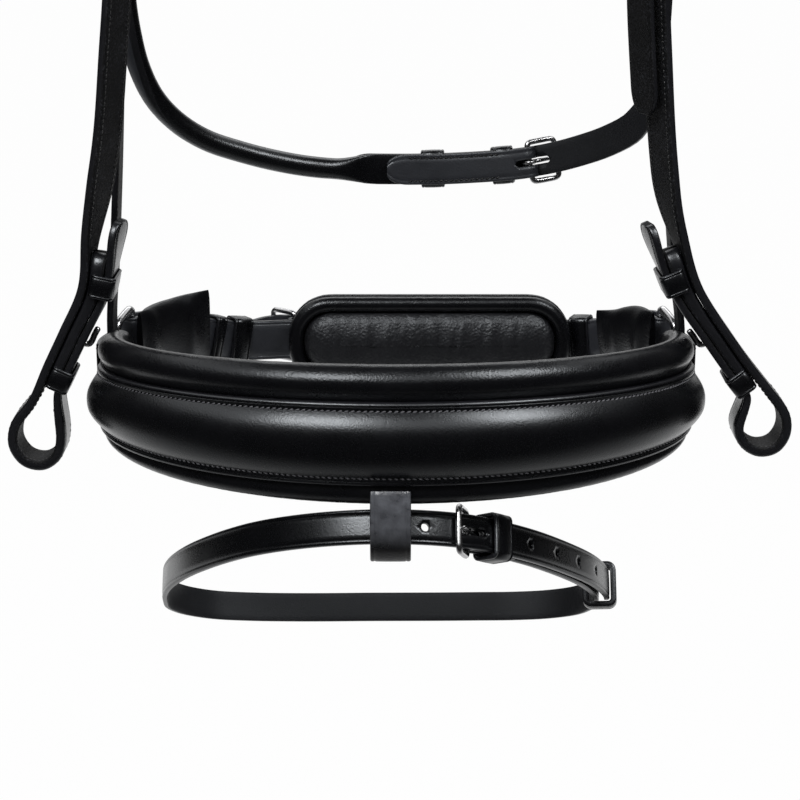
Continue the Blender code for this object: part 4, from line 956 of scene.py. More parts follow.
# %% Hook stud
def hook_stud(word, spot, low):
    """A bright hook that passes through the turned-up end and lies along its inner face."""
    point, forward, side, out = spot
    top = low + BILLET_THICK + 2.0
    path = [point + out * low, point + out * (low + 1.6), point + out * (top - 0.8),
            point + out * top - forward * 1.4, point + out * top - forward * 5.0,
            point + out * (top + 0.2) - forward * 8.5]
    wire(f"hook_{word}_steel", f"hook_stud_{word}", path, 1.25, side)


# %% Cheekpieces
def cheekpiece(side, word):
    knots, loop = upright(CHEEK_Y, CHEEK[word]), upright(CHEEK_Y, BIT_LOOP[word])
    bar_spot = beside(BUCKLE_X[word] + side * FLASH_THICK / 2, CHEEK_Y, BUCKLE_Z, -side)
    folded = fold_points(straight(bar_spot), 24, under_fold(CHEEK_THICK))
    below = folded[-1] + Vector((0, 0, -20))
    twist = cheek_twist(side)
    main = Route([folded[-1], below] + knots + loop[:1], twist)
    bottom = main.near(knots[-1])
    low_keeper, high_keeper = bottom + 3.0, main.near(knots[-3]) - (3.5 if side < 0 else 7.0)
    first, tip = bottom + 9.0, high_keeper - (27.0 if side < 0 else 24.5)

    def rise(place):
        return 3.0 * ease(0.35, 1.0, (first - place) / (first - tip))

    climb = []
    for place in steps(first, tip, 10):
        point, _, _, inward = main.frame(place)
        climb.append(point + inward * (BILLET_OFF + rise(place)))
    line = Route(folded + [below] + knots + loop + climb, twist, steps=8)
    fold_end, loop_start, loop_end = line.near(below), line.near(loop[0]), line.near(climb[0])

    def half(place):
        thick = CHAPE_THICK + (CHEEK_THICK - CHAPE_THICK) * ease(fold_end - 22, fold_end, place)
        thick += (LOOP_THICK - CHEEK_THICK) * ease(loop_start - 4, loop_start + 8, place)
        thick += (BILLET_THICK - LOOP_THICK) * ease(loop_end - 14, loop_end - 2, place)
        return thick / 2

    body = strap(f"cheekpiece_{word}_leather", line, CHEEK_WIDTH, half, grain=-1, tips=(0, 10), pitch=3.0)
    stud_place = (low_keeper + high_keeper) / 2 + 4
    stud = main.frame(stud_place)
    tool = punch_tool(stud, 1.9, BACKING_HIGH + 0.2, BACKING_HIGH + 6.0, long=1.0, flare=0.0)
    fit(punch(body, tongue_slot(bar_spot), tool), f"cheekpiece_{word}")
    fit(part_strap(f"cheek_backing_{word}_leather", main, high_keeper - 12, main.length - 9, CHEEK_WIDTH - 1,
                   CHEEK_THICK / 2 + 0.15, lambda place: BILLET_OFF - BILLET_THICK / 2 - 0.1 + rise(place),
                   grain=-1, tips=(8, 0), pitch=3.0), f"cheek_backing_{word}")
    straight_ends = fold_end + 24, line.near(knots[-4])
    on_strap, on_loop = CHEEK_THICK / 2 - 0.12, LOOP_THICK / 2 - 0.24
    rows = []
    for low, high, up in ((*straight_ends, on_strap), (*straight_ends, -on_strap),
                          (loop_start + 2, loop_end - 16, -on_loop),
                          (loop_start - 14, loop_end - 6, on_loop)):
        rows += seam(line, low, high, 6.0, up)
    sew(f"cheek_{word}_stitching", rows, "bridle")
    for place, tag, spare, loose in ((high_keeper, "upper", 0.7, 0.5), (low_keeper, "lower", 0.1, 0.0)):
        low, high = BACKING_HIGH - BACKING_THICK - spare, BILLET_OFF + BILLET_THICK / 2 + 0.4
        fit(band(f"cheek_{tag}_band_{word}", main.frame(place), low + rise(place), high + rise(place),
                 CHEEK_WIDTH / 2 + loose, 9.5), f"cheek_keeper_{tag}_{word}")
    hook_stud(word, stud, BACKING_HIGH + GAP + rise(stud_place))
    buckle(f"cheek_{word}", bar_spot, CHEEK_WIDTH, FLASH_THICK)
    low = -(GAP + CHAPE_THICK + 0.8 + CHEEK_THICK)
    for drop, tag in ((-14.5, "fixed"), (-30, "runner")):
        fit(band(f"cheek_{tag}_band_{word}", shifted(bar_spot, drop), low, FLASH_THICK, CHEEK_WIDTH / 2, 8.0),
            f"cheek_{tag}_keeper_{word}")


for side, word in SIDES:
    cheekpiece(side, word)
print("cheekpieces dressed")

# %% [markdown]
# ## Noseband
# The noseband's face is one wide strap whose middle is raised over a filler and held by a row of stitches
# along each border. Sculpting would give the bulge, but a section wrapped along the line gives the same
# swell all round. Behind it lies a padded lining that rolls out above and below, in softer leather with
# fine wrinkles.

# %% Noseband route and face
nose_knots = [(-NOSE_HALF_WIDE * math.cos(turn), -NOSE_FRONT * math.sin(turn),
               NOSE_Z_SIDE + (NOSE_Z_FRONT - NOSE_Z_SIDE) * math.sin(turn)) for turn in steps(0, math.pi, 21)]
nose_ends = [(x, NOSE_END_Y, NOSE_Z_SIDE + 2.0) for x in (0.3 - NOSE_HALF_WIDE, NOSE_HALF_WIDE - 0.3)]
nose = Route([nose_ends[0], *nose_knots, nose_ends[1]], (0, 0, 1))


def nose_half(place):
    front = max(0.0, -nose.at(place).y / NOSE_FRONT)
    return NOSE_HALF_SIDE + (NOSE_HALF_FRONT - NOSE_HALF_SIDE) * front ** 0.8


def nose_swell(place):
    return NOSE_RAISE * ease(12, 40, place) * ease(12, 40, nose.length - place)


def nose_section(place):
    """Flat border with a crease and a stitch groove, and a raised middle."""
    half, swell = nose_half(place), nose_swell(place)
    inside = half - STITCH_IN
    right = [(0, 0), (half * 0.5, 0), (half - 0.7, 0), (half - 0.2, 0.2), (half, 0.7),
             (half, NOSE_THICK - 1.3), (half - 0.3, NOSE_THICK - 0.5), (half - 0.85, NOSE_THICK - 0.05),
             (half - 1.25, NOSE_THICK),
             (half - 1.55, NOSE_THICK - 0.4), (half - 1.9, NOSE_THICK - 0.02), (half - 2.5, NOSE_THICK),
             (inside + 0.15, NOSE_THICK - 0.35), (inside - 0.35, NOSE_THICK - 0.35)]
    for turn in steps(10, 90, 14):
        share = math.cos(math.radians(turn))
        right.append((inside * share, NOSE_THICK - 0.1 + (swell + 0.1) * (1 - share ** 2.4)))
    return both_sides(right)


HALF_NOSE_ZONES = [2, 2, 2, 1, 1, 1, 1] + [0] * 20
nose_places = [0.0, 0.35] + steps(2.0, nose.length - 2.0, 190) + [nose.length - 0.35, nose.length]
rings = []
for place in nose_places:
    slim = 0.97 if place in (0.0, nose.length) else 1.0
    rings.append(ring_at(nose, place, [(across * slim, up) for across, up in nose_section(place)]))
zones = HALF_NOSE_ZONES + HALF_NOSE_ZONES[::-1]
fit(wrap("noseband_face", rings, zones=zones, looks=STRAP_LOOKS), "noseband")
rows = seam(nose, 5, nose.length - 5, lambda place: nose_half(place) - STITCH_IN - 0.1, NOSE_THICK - 0.05)
# The noseband's stitches take the pale thread, a painted glint.
sew("noseband_stitching", rows, "bridle", THREAD_PAINTED_GLINT)
print("noseband length in mm", round(nose.length), "stitches", len(rows))


# %% Noseband lining
HANGER_DENT = HANGER_LOW_X - NOSE_HALF_WIDE - HANGER_THICK / 2 - 0.5


def lining_section(place):
    """The padding's section: rolled out over and under the face, and pressed in where a hanger lies on it."""
    here, half = nose.at(place), nose_half(place)
    near = min(place, nose.length - place)
    ends = 0.6 + 0.4 * ease(0, 14, near)
    front = max(0.0, -here.y / NOSE_FRONT)
    top, base = 12.5 * ends, (8.6 - 3.8 * (1 - front)) * ends
    bulge = ease(0, 8, near)
    deep = 0.75 + 0.25 * ends
    pressed = 1 - ease(HANGER_WIDTH / 2, HANGER_WIDTH / 2 + 3.0, abs(here.y - HANGER_Y))
    points = [(half - 10.0, -0.5), (half - 7.0, -0.5), (half - 4.0, -0.45), (half - 1.0, -0.4),
              (half + 1.2, 0.3 * bulge), (half + top * 0.35, 1.9 * bulge), (half + top * 0.62, 1.7 * bulge),
              (half + top * 0.9, -1.0), (half + top, -4.2), (half + top * 0.87, -8.0),
              (half + top * 0.45, -10.4), (half - 2, -10.0), (0, -9.4), (-half + 1, -9.2),
              (-half - base * 0.6, -8.2), (-half - base, -5.0),
              (-half - base * 0.9, -1.6), (-half - base * 0.55, 0.6 * bulge), (-half - 1.2, 0.3 * bulge),
              (-half + 1.0, -0.4), (-half + 4.0, -0.45)]
    made = []
    for across, up in points:
        up *= deep if up < -0.5 else 1.0
        dent = pressed * ease(half - 9.0, half - 5.0, across)
        made.append((across, up + (min(up, HANGER_DENT) - up) * dent))
    return soft_loop(made)


rings = pad_rings(nose, steps(0, nose.length, 260), lining_section)
soft("noseband_roll", crumple(rings, 0.08, 3.2, (1.6, 1.6, 0.6)), "noseband_lining")

# %% [markdown]
# ## Rings, tabs and end pads
# At each end of the noseband a folded tab holds a steel ring for the chin strap, and a small pillow of
# lining lies between the ring and the skin.

# %% Rings, tabs and end pads
def ring_points(side):
    front = Vector((-side * RING_FRONT[0], RING_FRONT[1], RING_Z - 4))
    rear = Vector((-side * RING_REAR[0], RING_REAR[1], RING_Z))
    return front, rear


def ring_and_tab(side, word):
    front, rear = ring_points(side)
    tall = Vector((0, 0, RING_TALL / 2))
    flat = (rear - front).cross(tall).normalized()
    corners = [front + tall, front - tall, rear - tall, rear + tall]
    wire(f"ring_{word}_steel", f"crank_ring_{word}", bent_corners(corners, 3.4), RING_WIRE, flat,
         closed=True, sides=18)
    reach = RING_WIRE + 0.45 + 0.8
    out, back = Vector((side, 0, 0)), Vector((0, 1, 0))
    over, under = NOSE_HALF_WIDE + NOSE_THICK + GAP + 1.0, NOSE_HALF_WIDE - 4.6
    knots = [Vector((side * over, NOSE_END_Y - 9.5, front.z)), Vector((side * over, NOSE_END_Y, front.z))]
    for angle in steps(math.radians(75), math.radians(-75), 7):
        knots.append(front + out * (reach * math.sin(angle)) + back * (reach * math.cos(angle)))
    knots += [Vector((side * under, NOSE_END_Y + back, front.z)) for back in (4.0, 0.6)]
    line = Route(knots, (0, 0, -side), steps=8)
    fit(strap(f"tab_{word}_leather", line, RING_TALL - 2 * RING_WIRE - 3.0, 0.8, grain=-1, pitch=1.5),
        f"ring_tab_{word}")
    sew(f"tab_{word}_stitching", seam(line, 1, 8, 6.8, -0.8), "bridle")


PAD_KNOTS = {"left": ((-106.6, NOSE_END_Y + 2.0, -419), (-102.0, 31, -419.2), (-93.5, 43, -420),
                      (-81.5, 54, -420.5)),
             "right": ((106.6, NOSE_END_Y + 2.0, -419), (102.0, 31, -419), (95.5, 40.5, -422),
                       (88.0, 48.5, -424))}


def end_pad(side, word):
    """Padded end of the lining that lies between the ring and the skin."""
    line = Route(PAD_KNOTS[word], (0, 0, 1))

    def pillow(place):
        half = 13.5 + (2.0 if side < 0 else -2.25) * ease(0, line.length, place)
        sag = 2.4 * ease(6, 22, place) * ease(0, 16, line.length - place) if side < 0 else 0.0
        deep = 1.2 + 2.6 * ease(0, 9, place) * ease(0, 12, line.length - place)
        return soft_loop([((half + (sag if across < 0 else 0)) * across, deep * up) for across, up in (
            (-1, 0), (-0.86, -0.62), (-0.5, -1), (0.5, -1), (0.86, -0.62), (1, 0), (0.86, 0.62), (0.5, 1),
            (-0.5, 1), (-0.86, 0.62))])

    rings = crumple(pad_rings(line, steps(0, line.length, 50), pillow), 0.1, 6.0, (1, 1, 0.5))
    soft(f"end_pad_{word}_soft", rings, f"end_pad_{word}")


for side, word in SIDES:
    ring_and_tab(side, word)
    end_pad(side, word)

# %% [markdown]
# ## Noseband hanger
# A narrow strap over the poll carries the noseband. It starts between the face and the lining on the left
# of the picture and ends in a billet on the right, where it is buckled to a short strap that comes up from
# the noseband.

# %% Long and short hanger
HANGER_BAR_X, HANGER_BAR_Z = 109.2, -224.0
rising = upright(HANGER_Y, ((-HANGER_LOW_X, -425.5), (-HANGER_LOW_X, -404), (-114.5, -385), (-110.5, -330),
                            (-107.5, -270), (-106.4, -200), (-105.6, -150), (-105.3, BROW_Z)))
over = []
for x, z in ((-94, -84), (-91.4, -70), (-86, -50), (-64, -21), (-34, -5), (-POLL_FLAT, 0)):
    point, _, _, out = arch.frame(arch.near((x, 0, z)))
    backwards = Vector((0, HANGER_Y * ease(-62, -88, z), 0))
    over.append(point + out * (POLL_PAD_THICK + GAP + HANGER_THICK / 2) + backwards)
over += [Vector((-point.x, point.y, point.z)) for point in reversed(over)]
falling = upright(HANGER_Y, ((105.6, BROW_Z), (107.0, -170), (HANGER_BAR_X, HANGER_BAR_Z + 18),
                             (HANGER_BAR_X, HANGER_BAR_Z - 10), (HANGER_BAR_X, HANGER_BAR_Z - 47)))
long_route = Route(rising + over + falling, (0, 1, 0))
long_hanger = strap("hanger_long_leather", long_route, HANGER_WIDTH, HANGER_THICK / 2, tips=(5, 9))
hanger_spot = beside(HANGER_BAR_X - HANGER_THICK / 2, HANGER_Y, HANGER_BAR_Z, 1)
tools = holes([shifted(hanger_spot, drop) for drop in (-25, -35)], 1.7, -2, HANGER_THICK)
fit(punch(long_hanger, pin_hole(hanger_spot, HANGER_THICK), *tools), "hanger_long")

folded = fold_points(straight(hanger_spot), 22, under_fold(HANGER_THICK))
lower = upright(HANGER_Y, ((folded[-1].x, -290), (106.2, -330), (111.0, -368), (113.2, -388),
                           (HANGER_LOW_X, -407), (HANGER_LOW_X, -425.5)))
short_route = Route(folded + lower, (0, 1, 0), steps=8)
short_turn = short_route.near(folded[10])
short_hanger = strap("hanger_short_leather", short_route, HANGER_WIDTH,
                     after_fold(HANGER_THICK, short_turn + 6, short_turn + 24))
fit(punch(short_hanger, tongue_slot(hanger_spot)), "hanger_short")
buckle("hanger", hanger_spot, HANGER_WIDTH, HANGER_THICK)
for drop, tag in ((-13.5, "fixed"), (-29, "runner")):
    fit(band(f"hanger_{tag}_band", shifted(hanger_spot, drop), -(GAP + CHAPE_THICK + 1.0 + HANGER_THICK),
             HANGER_THICK + 0.1, HANGER_WIDTH / 2, 7.0), f"hanger_{tag}_keeper")
print("hanger length in mm", round(long_route.length))

# %% [markdown]
# ## Chin strap and chin pad
# The chin strap is doubled: sewn round the right ring, along behind the pad, round the left ring and back
# to its buckle. The pad it carries is pebbled leather over foam, edged with a fat piping on a stiff back.
# Foam under leather could be blown up by a cloth simulation, but the pad is drawn flat and tight by its
# strap and keeps its moulded crown, so the crown and its upright wrinkles are shaped in code on rings that
# shrink to the middle.

# %% Chin strap
def chin_route():
    """Middle of the inner layer, from the left ring's rear bar behind the pad to the right ring's."""
    reach = RING_WIRE + 0.4 + CRANK_THICK / 2
    left_bar, right_bar = ring_points(-1)[1], ring_points(1)[1]
    left_away = Vector((0.68, 0.73, 0)).normalized()
    right_away = Vector((-0.42, 0.91, 0)).normalized()
    left_start = left_bar + Vector((left_away.y, -left_away.x, 0)) * reach
    right_end = right_bar + Vector((-right_away.y, right_away.x, 0)) * reach
    middle = ((-95.5, 52.5, RING_Z - 3.5), (-84, 66, RING_Z - 9), (-71, 78.3, CRANK_Z + 1.5),
              (-61.5, 84.2, CRANK_Z), (-50, CRANK_Y, CRANK_Z), (-30, CRANK_Y, CRANK_Z),
              (50, CRANK_Y, CRANK_Z), (79, CRANK_Y, CRANK_Z), (91, 79.0, CRANK_Z + 2),
              (100.5, 62.5, RING_Z - 6))
    knots = [left_start, left_start + left_away * 8, *middle, right_end + right_away * 9, right_end]
    return Route(knots, (0, 0, -1)), (left_bar, left_away), (right_bar, right_away), reach


chin, left_ring, right_ring, ring_reach = chin_route()
chin_bar = chin.near((CHIN_BAR_X, CRANK_Y, CRANK_Z))


def chin_apart(place):
    """Distance between the two layers, wider at the rings and over the buckle."""
    layer = CRANK_THICK + 0.6
    at_ring = 1 - ease(0, 15, min(place, chin.length - place))
    rise = ease(chin_bar - 19, chin_bar - 9, place)
    sink = ease(chin_bar + 1, chin_bar + 14, place)
    done = ease(chin_bar + 32, chin_bar + 41, place)
    over_buckle = CHIN_RISE * rise - (CHIN_RISE - CHIN_SINK) * sink - CHIN_SINK * done
    return layer + (2 * ring_reach - layer) * at_ring + over_buckle


def chin_outer(place):
    point, _, _, out = chin.frame(place)
    return point + out * chin_apart(place)


def round_ring(ring, side):
    """From the inner layer round the far side of the ring's bar to the outer layer."""
    bar, away = ring
    first = math.atan2(away.y, away.x) - side * math.pi / 2
    angles = [first - side * math.pi * step / 8 for step in range(1, 8)]
    return [bar + Vector((math.cos(angle), math.sin(angle), 0)) * ring_reach for angle in angles]


outer_end = [chin_outer(chin.length - back) for back in (62, 54, 46, 38, 30, 22, 14, 7, 0)]
run = [chin.at(chin.length * (1 - share / 30)) for share in range(31)]
back = [chin_outer(place) for place in steps(0, chin_bar + 76, 34)]
chin_points = outer_end + round_ring(right_ring, -1)[::-1] + run + round_ring(left_ring, 1) + back
chin_whole = Route(chin_points, (0, 0, -1), steps=8)
# The chin strap's faces take the paler grain copy: a painted sheen.
chin_body = strap("chin_strap_leather", chin_whole, CRANK_WIDTH, CRANK_THICK / 2, tips=(6, 9),
                  looks=(GRAIN_PAINTED_SHEEN, EDGE, GRAIN_PAINTED_SHEEN))
point, forward, side, out = chin.frame(chin_bar)
chin_spot = (point + out * (chin_apart(chin_bar) - CRANK_THICK / 2), -forward, side, out)
fit(punch(chin_body, pin_hole(chin_spot, CRANK_THICK)), "chin_strap")
buckle("chin", chin_spot, CRANK_WIDTH, CRANK_THICK)
print("chin strap length in mm", round(chin_whole.length))


# %% Chin chape and keepers
def chin_at(back, up):
    centre, _, _, away = chin.frame(chin_bar + back)
    return centre + away * (chin_apart(chin_bar) - CRANK_THICK / 2 + up)


fold = WIRE + BAR_ROOM + CHAPE_THICK / 2
chape_low = BAR_DEPTH - fold
chape_high = chape_low + CHAPE_THICK + GAP
path = [chin_at(back, chape_high) for back in (31, 22, 14)] + [chin_at(7, chape_high * 0.5 - 0.55)]
path += [chin_at(-fold * math.cos(angle), BAR_DEPTH + fold * math.sin(angle))
         for angle in steps(math.pi / 2, -math.pi / 2, 8)]
path += [chin_at(back, chape_low) for back in (8, 20, 31)]
leaf = Route(path, side, steps=8)
# The chape takes the same painted sheen.
chape = strap("chin_chape_leather", leaf, CRANK_WIDTH - 1, CHAPE_THICK / 2, grain=-1, pitch=2.5,
              looks=(GRAIN_PAINTED_SHEEN, EDGE, GRAIN_PAINTED_SHEEN))
fit(punch(chape, tongue_slot(chin_spot)), "chin_chape")
for x, y, long, tag in ((-81, 69.5, 5.6, "left_outer"), (-70.5, 78.7, 9.5, "left_inner"),
                        (84, 84.7, 9.0, "right")):
    place = chin.near((x, y, CRANK_Z))
    fit(band(f"chin_band_{tag}", chin.frame(place), -CRANK_THICK / 2 - 0.6,
             chin_apart(place) + CRANK_THICK / 2 + 0.5, CRANK_WIDTH / 2 + 0.2, long), f"chin_keeper_{tag}")
print("chin keepers dressed")


# %% Chin pad
def rounded(width, tall, round_by, count):
    """Evenly spaced points round a rectangle with rounded corners, in X and Z."""
    points = []
    for across, up, first in ((1, 1, 0), (-1, 1, 90), (-1, -1, 180), (1, -1, 270)):
        middle = across * (width / 2 - round_by), up * (tall / 2 - round_by)
        points += corner(*middle, round_by, first, first + 90, 9)
    points.append(points[0])
    points = np.array(points)
    walked = np.concatenate(([0], np.cumsum(np.hypot(*np.diff(points, axis=0).T))))
    places = np.linspace(0, walked[-1], count, endpoint=False)
    return list(zip(np.interp(places, walked, points[:, 0]), np.interp(places, walked, points[:, 1])))


BOARD_THICK, BOARD_ROUND, PIPING_ROUND = 2.2, 19, 15.7
chin_centre = Vector((CHIN_X, 0, CHIN_Z))
back_y = CRANK_Y - CRANK_THICK / 2 - KEEPER_THICK - 3 * GAP
rings = []
for scale, deep in ((0.97, 0), (0.99, 0.1), (1.0, 0.6), (1.0, 1.6), (0.99, 2.1), (0.97, BOARD_THICK)):
    rings.append([chin_centre + Vector((x * scale, back_y - deep, z * scale))
                  for x, z in rounded(CHIN_WIDE, CHIN_TALL, BOARD_ROUND, 120)])
fit(wrap("chin_pad_board", rings), "chin_pad_back")
front_y = back_y - BOARD_THICK - GAP
path = [chin_centre + Vector((x, front_y - PIPING, z))
        for x, z in rounded(CHIN_WIDE - 2 * PIPING, CHIN_TALL - 2 * PIPING, PIPING_ROUND, 90)]
piping_route = Route(path, (0, 1, 0), closed=True, steps=4)
rings = []
for place in steps(0, piping_route.length * (1 - 1 / 260), 260):
    size = PIPING * (1 + 0.03 * noise.noise(piping_route.at(place) / 2.2))
    rings.append(ring_at(piping_route, place, circle(size, 24)))
fit(wrap("chin_pad_edge_roll", rings, True, looks=(SOFT,)), "chin_pad_piping", slot="soft_leather")
print("chin pad back and piping dressed")

# %% Chin pad cushion
PAD_SHAPE = ((0.8, 0.0), (0.2, 1.0), (0.0, 3.0), (0.6, 5.0), (3.2, 7.4), (7.0, 8.9), (10.5, 9.6), (13.9, 9.8))
CUSHION_ROUND = 12.8
inner_width, inner_tall = CHIN_WIDE - 4 * PIPING - 0.8, CHIN_TALL - 4 * PIPING - 0.8
shape_route = Route([(inset, deep, 0) for inset, deep in PAD_SHAPE], (0, 0, 1))
rings = []
for place in steps(0, shape_route.length, 40):
    inset, deep, _ = shape_route.at(place)
    ring = []
    round_by = max(0.1, CUSHION_ROUND - inset)
    for x, z in rounded(inner_width - 2 * inset, inner_tall - 2 * inset, round_by, 300):
        wrinkle = 0.75 * noise.noise(Vector((x / 5.5, z / 26.0, 1.7)))
        wrinkle += 0.4 * noise.noise(Vector((x / 2.4, z / 9.0, 5.2)))
        ring.append(chin_centre + Vector((x, front_y - deep + ease(1.5, 6.5, deep) * wrinkle, z)))
    rings.append(ring)
soft("chin_pad_cushion", rings, "chin_pad", PEBBLED)
for x, word in ((CHIN_LOOP_X, "left"), (CHIN_X + 36, "right")):
    spot = (Vector((x, CRANK_Y, CRANK_Z)), Vector((1, 0, 0)), Vector((0, 0, 1)), Vector((0, 1, 0)))
    place = chin.near((CHIN_LOOP_X, CRANK_Y, CRANK_Z))
    high = CRANK_THICK / 2 + (chin_apart(place) if word == "left" else 0.1)
    fit(band(f"chin_pad_band_{word}", spot, -CRANK_THICK / 2, high + 0.1, CRANK_WIDTH / 2, 8.0),
        f"chin_pad_loop_{word}")

# %% [markdown]
# ## Flash strap
# The flash strap is one strap: folded round its buckle, round behind the jaw and through the sling under
# the noseband to the buckle again. It lies on itself past the buckle, where the outer layer shows its spare
# holes.

# %% Flash strap
FLASH_OVER, SPARE_BACK, HOLE_FIRST, HOLE_STEP = 138.0, 20.5, 32.0, 21.0


def flash_place(x, y):
    return x, y, FLASH_Z - FLASH_SLOPE * (y - FLASH_Y)


leaning = Vector((0, FLASH_SLOPE, 1)).normalized()
ring = Route([flash_place(x, y) for x, y in FLASH_PLAN], leaning, closed=True)
flash_bar = ring.near(flash_place(27.6, -83.6))
lap = ring.length
point, forward, side, out = ring.frame(flash_bar)
flash_spot = (point, -forward, side, out)
main_off = under_fold(FLASH_THICK)
folded = fold_points(bent(ring, flash_bar, 1), 26, main_off)
flash_points = list(folded)
for place in steps(flash_bar + 22, lap, 35):
    spare = ease(FLASH_OVER - 4, lap * 0.62, place)
    at, _, _, away = ring.frame(place)
    flash_points.append(at + away * (main_off + (FLASH_THICK / 2 - main_off) * spare))
for index in range(1, 13):
    at, _, _, away = ring.frame(flash_bar + FLASH_OVER * index / 12)
    flash_points.append(at + away * (FLASH_THICK / 2))
flash_line = Route(flash_points, ring.side, steps=6)
flash_turn = flash_line.near(folded[10])
flash_body = strap("flash_strap_leather", flash_line, FLASH_WIDTH,
                   after_fold(FLASH_THICK, flash_turn + 4, flash_turn + 22), tips=(0, 9), pitch=3.0,
                   looks=(GRAIN, EDGE, PRESSED))
tools = [punch_tool(ring.frame(flash_bar - SPARE_BACK), 1.6, -2, FLASH_THICK)]
spots = [ring.frame(flash_bar + HOLE_FIRST + HOLE_STEP * index) for index in range(4)]
tools += holes(spots, 1.4, -0.15, FLASH_THICK, flare=0.4)
tools += [tongue_slot(flash_spot), pin_hole(flash_spot, FLASH_THICK)]
fit(punch(flash_body, *tools), "flash_strap")
buckle("flash", flash_spot, FLASH_WIDTH, FLASH_THICK)
flash_deep = main_off - FLASH_THICK / 2
for away, low, long, thick, tag in ((13, 1.3, 10.0, 1.5, "fixed"), (131, 1.8, 8.5, 2.4, "runner")):
    fit(band(f"flash_{tag}_band", ring.frame(flash_bar + away), flash_deep - low, FLASH_THICK + 0.2,
             FLASH_WIDTH / 2 + 0.6, long, thick), f"flash_{tag}_keeper")
print("flash strap length in mm", round(flash_line.length))

# %% Sling under the noseband
SLING_X, SLING_WIDTH, SLING_THICK = -2.0, 15.0, 2.0
SLING = ((-99.6, -441.4), (-101.6, -448), (-102.2, -456), (-101.2, -464), (-96.5, -469), (-90.0, -467.5),
         (-86.8, -460), (-86.6, -450.6))
sling_route = Route([(SLING_X, y, z) for y, z in SLING], (1, 0, 0))
# The sling's face carries the painted highlight in its colour.
fit(strap("flash_sling_leather", sling_route, SLING_WIDTH, SLING_THICK / 2, pitch=1.5,
          looks=(SLING_PAINTED_HIGHLIGHT, EDGE, FLESH)), "flash_loop")
print("sling length in mm", round(sling_route.length))

# %% [markdown]
# ## Throatlatch
# On the left of the picture the throatlatch is rolled: its leather is sewn round a cord, so its section
# goes from flat to round and back before it is folded round the buckle. The flat billet comes from the
# right.

# %% Throatlatch routes
def throat_turn(point):
    """Width runs front to back beside the head and turns up and down under the throat."""
    return Vector((0, -0.1, -1.0)).lerp(Vector((0, -1, 0)), ease(-334, -296, point.z)).normalized()


throat = Route(THROAT, throat_turn)
throat_bar = throat.near(THROAT_BAR)
throat_spot = throat.frame(throat_bar)
FOLD_BACK = 63.0
STITCH_ACROSS = 4.9
inner_leaf = -(3 * GAP + KEEPER_THICK + CHAPE_THICK * 1.5)
throat_at = bent(throat, throat_bar, -1)
folded = fold_points(throat_at, 24, inner_leaf, settle=11)


def rolled(place):
    return ease(25, 70, place) * (1 - ease(throat_bar - 90, throat_bar - FOLD_BACK - 5, place))


def throat_half(place):
    thin = ease(throat_bar - 80, throat_bar - FOLD_BACK - 5, place)
    flat = THROAT_THICK + (CHAPE_THICK - THROAT_THICK) * thin
    return (flat + (ROLL_THICK - flat) * rolled(place)) / 2


run = []
for place in [0, 6, 14] + [26 + 15 * index for index in range(int((throat_bar - 56) / 15) + 1)]:
    centre, _, _, away = throat.frame(place)
    near_buckle = ease(throat_bar - 190, throat_bar - 100, place)
    run.append(centre - away * ((GAP + throat_half(place)) * near_buckle))


def throat_level(point):
    share = ease(8, 30, (point - throat_spot[0]).length)
    return throat_spot[2].lerp(throat_turn(point), share)


leaf = [throat_at(back, inner_leaf) for back in (24, 40, FOLD_BACK)]
whole = Route(run + folded + leaf, throat_level, steps=8)
whole_turn = whole.near(folded[3])


def whole_half(place):
    if place >= whole_turn:
        return CHAPE_THICK / 2
    return throat_half(min(place * throat_bar / whole_turn, throat_bar))


def roll_section(width, low, high, grain):
    """A flat strap that fills out to a round one."""
    fullness = min(1.0, (high - low) / ROLL_THICK) ** 2
    flat = strap_section(width, low, high, grain)
    made = []
    for index, (across, up) in enumerate(flat):
        turn = -math.pi / 2 + 2 * math.pi * index / len(flat)
        round_across = width / 2 * math.cos(turn)
        round_up = (low + high) / 2 + (high - low) / 2 * math.sin(turn)
        made.append((across + (round_across - across) * fullness, up + (round_up - up) * fullness))
    return made


def roll_wide(place):
    return THROAT_WIDTH + (ROLL_THICK - THROAT_WIDTH) * rolled(place)


# %% Throatlatch
# The throatlatch's grain side takes the paler grain copy: a painted sheen.
throat_body = strap("throat_roll_leather", whole, roll_wide, whole_half, tips=(0, 9), pitch=3.0,
                    section=roll_section, looks=(GRAIN_PAINTED_SHEEN, EDGE, GRAIN))
fit(punch(throat_body, tongue_slot(throat_spot)), "throat_roll")
rows = seam(whole, whole_turn + 20, whole.length - 9, STITCH_ACROSS, CHAPE_THICK / 2)
sew("throat_stitching", rows, "throatlatch")
billet = []
for place in steps(throat_bar - 79, throat.length, 24):
    centre, _, _, away = throat.frame(place)
    billet.append(centre + away * (THROAT_THICK / 2 * (1 - ease(throat_bar + 60, throat_bar + 140, place))))
flat_route = Route(billet, throat_turn, steps=8)
flat_body = strap("throat_strap_leather", flat_route, THROAT_WIDTH, THROAT_THICK / 2, tips=(9, 0),
                  looks=(GRAIN, EDGE, PRESSED))
tools = holes([throat.frame(throat_bar - back) for back in (27, 58)], 1.6, -0.15, THROAT_THICK)
fit(punch(flat_body, pin_hole(throat_spot, THROAT_THICK), *tools), "throat_strap")
buckle("throat", throat_spot, THROAT_WIDTH, THROAT_THICK)
for back, long, tag in ((12.8, 9.0, "fixed"), (43.0, 10.0, "runner")):
    fit(band(f"throat_{tag}_band", throat.frame(throat_bar - back), -(GAP + CHAPE_THICK + 0.1),
             THROAT_THICK + 0.3, THROAT_WIDTH / 2 + 0.1, long), f"throat_{tag}_keeper")
print("throatlatch length in mm", round(throat.length))

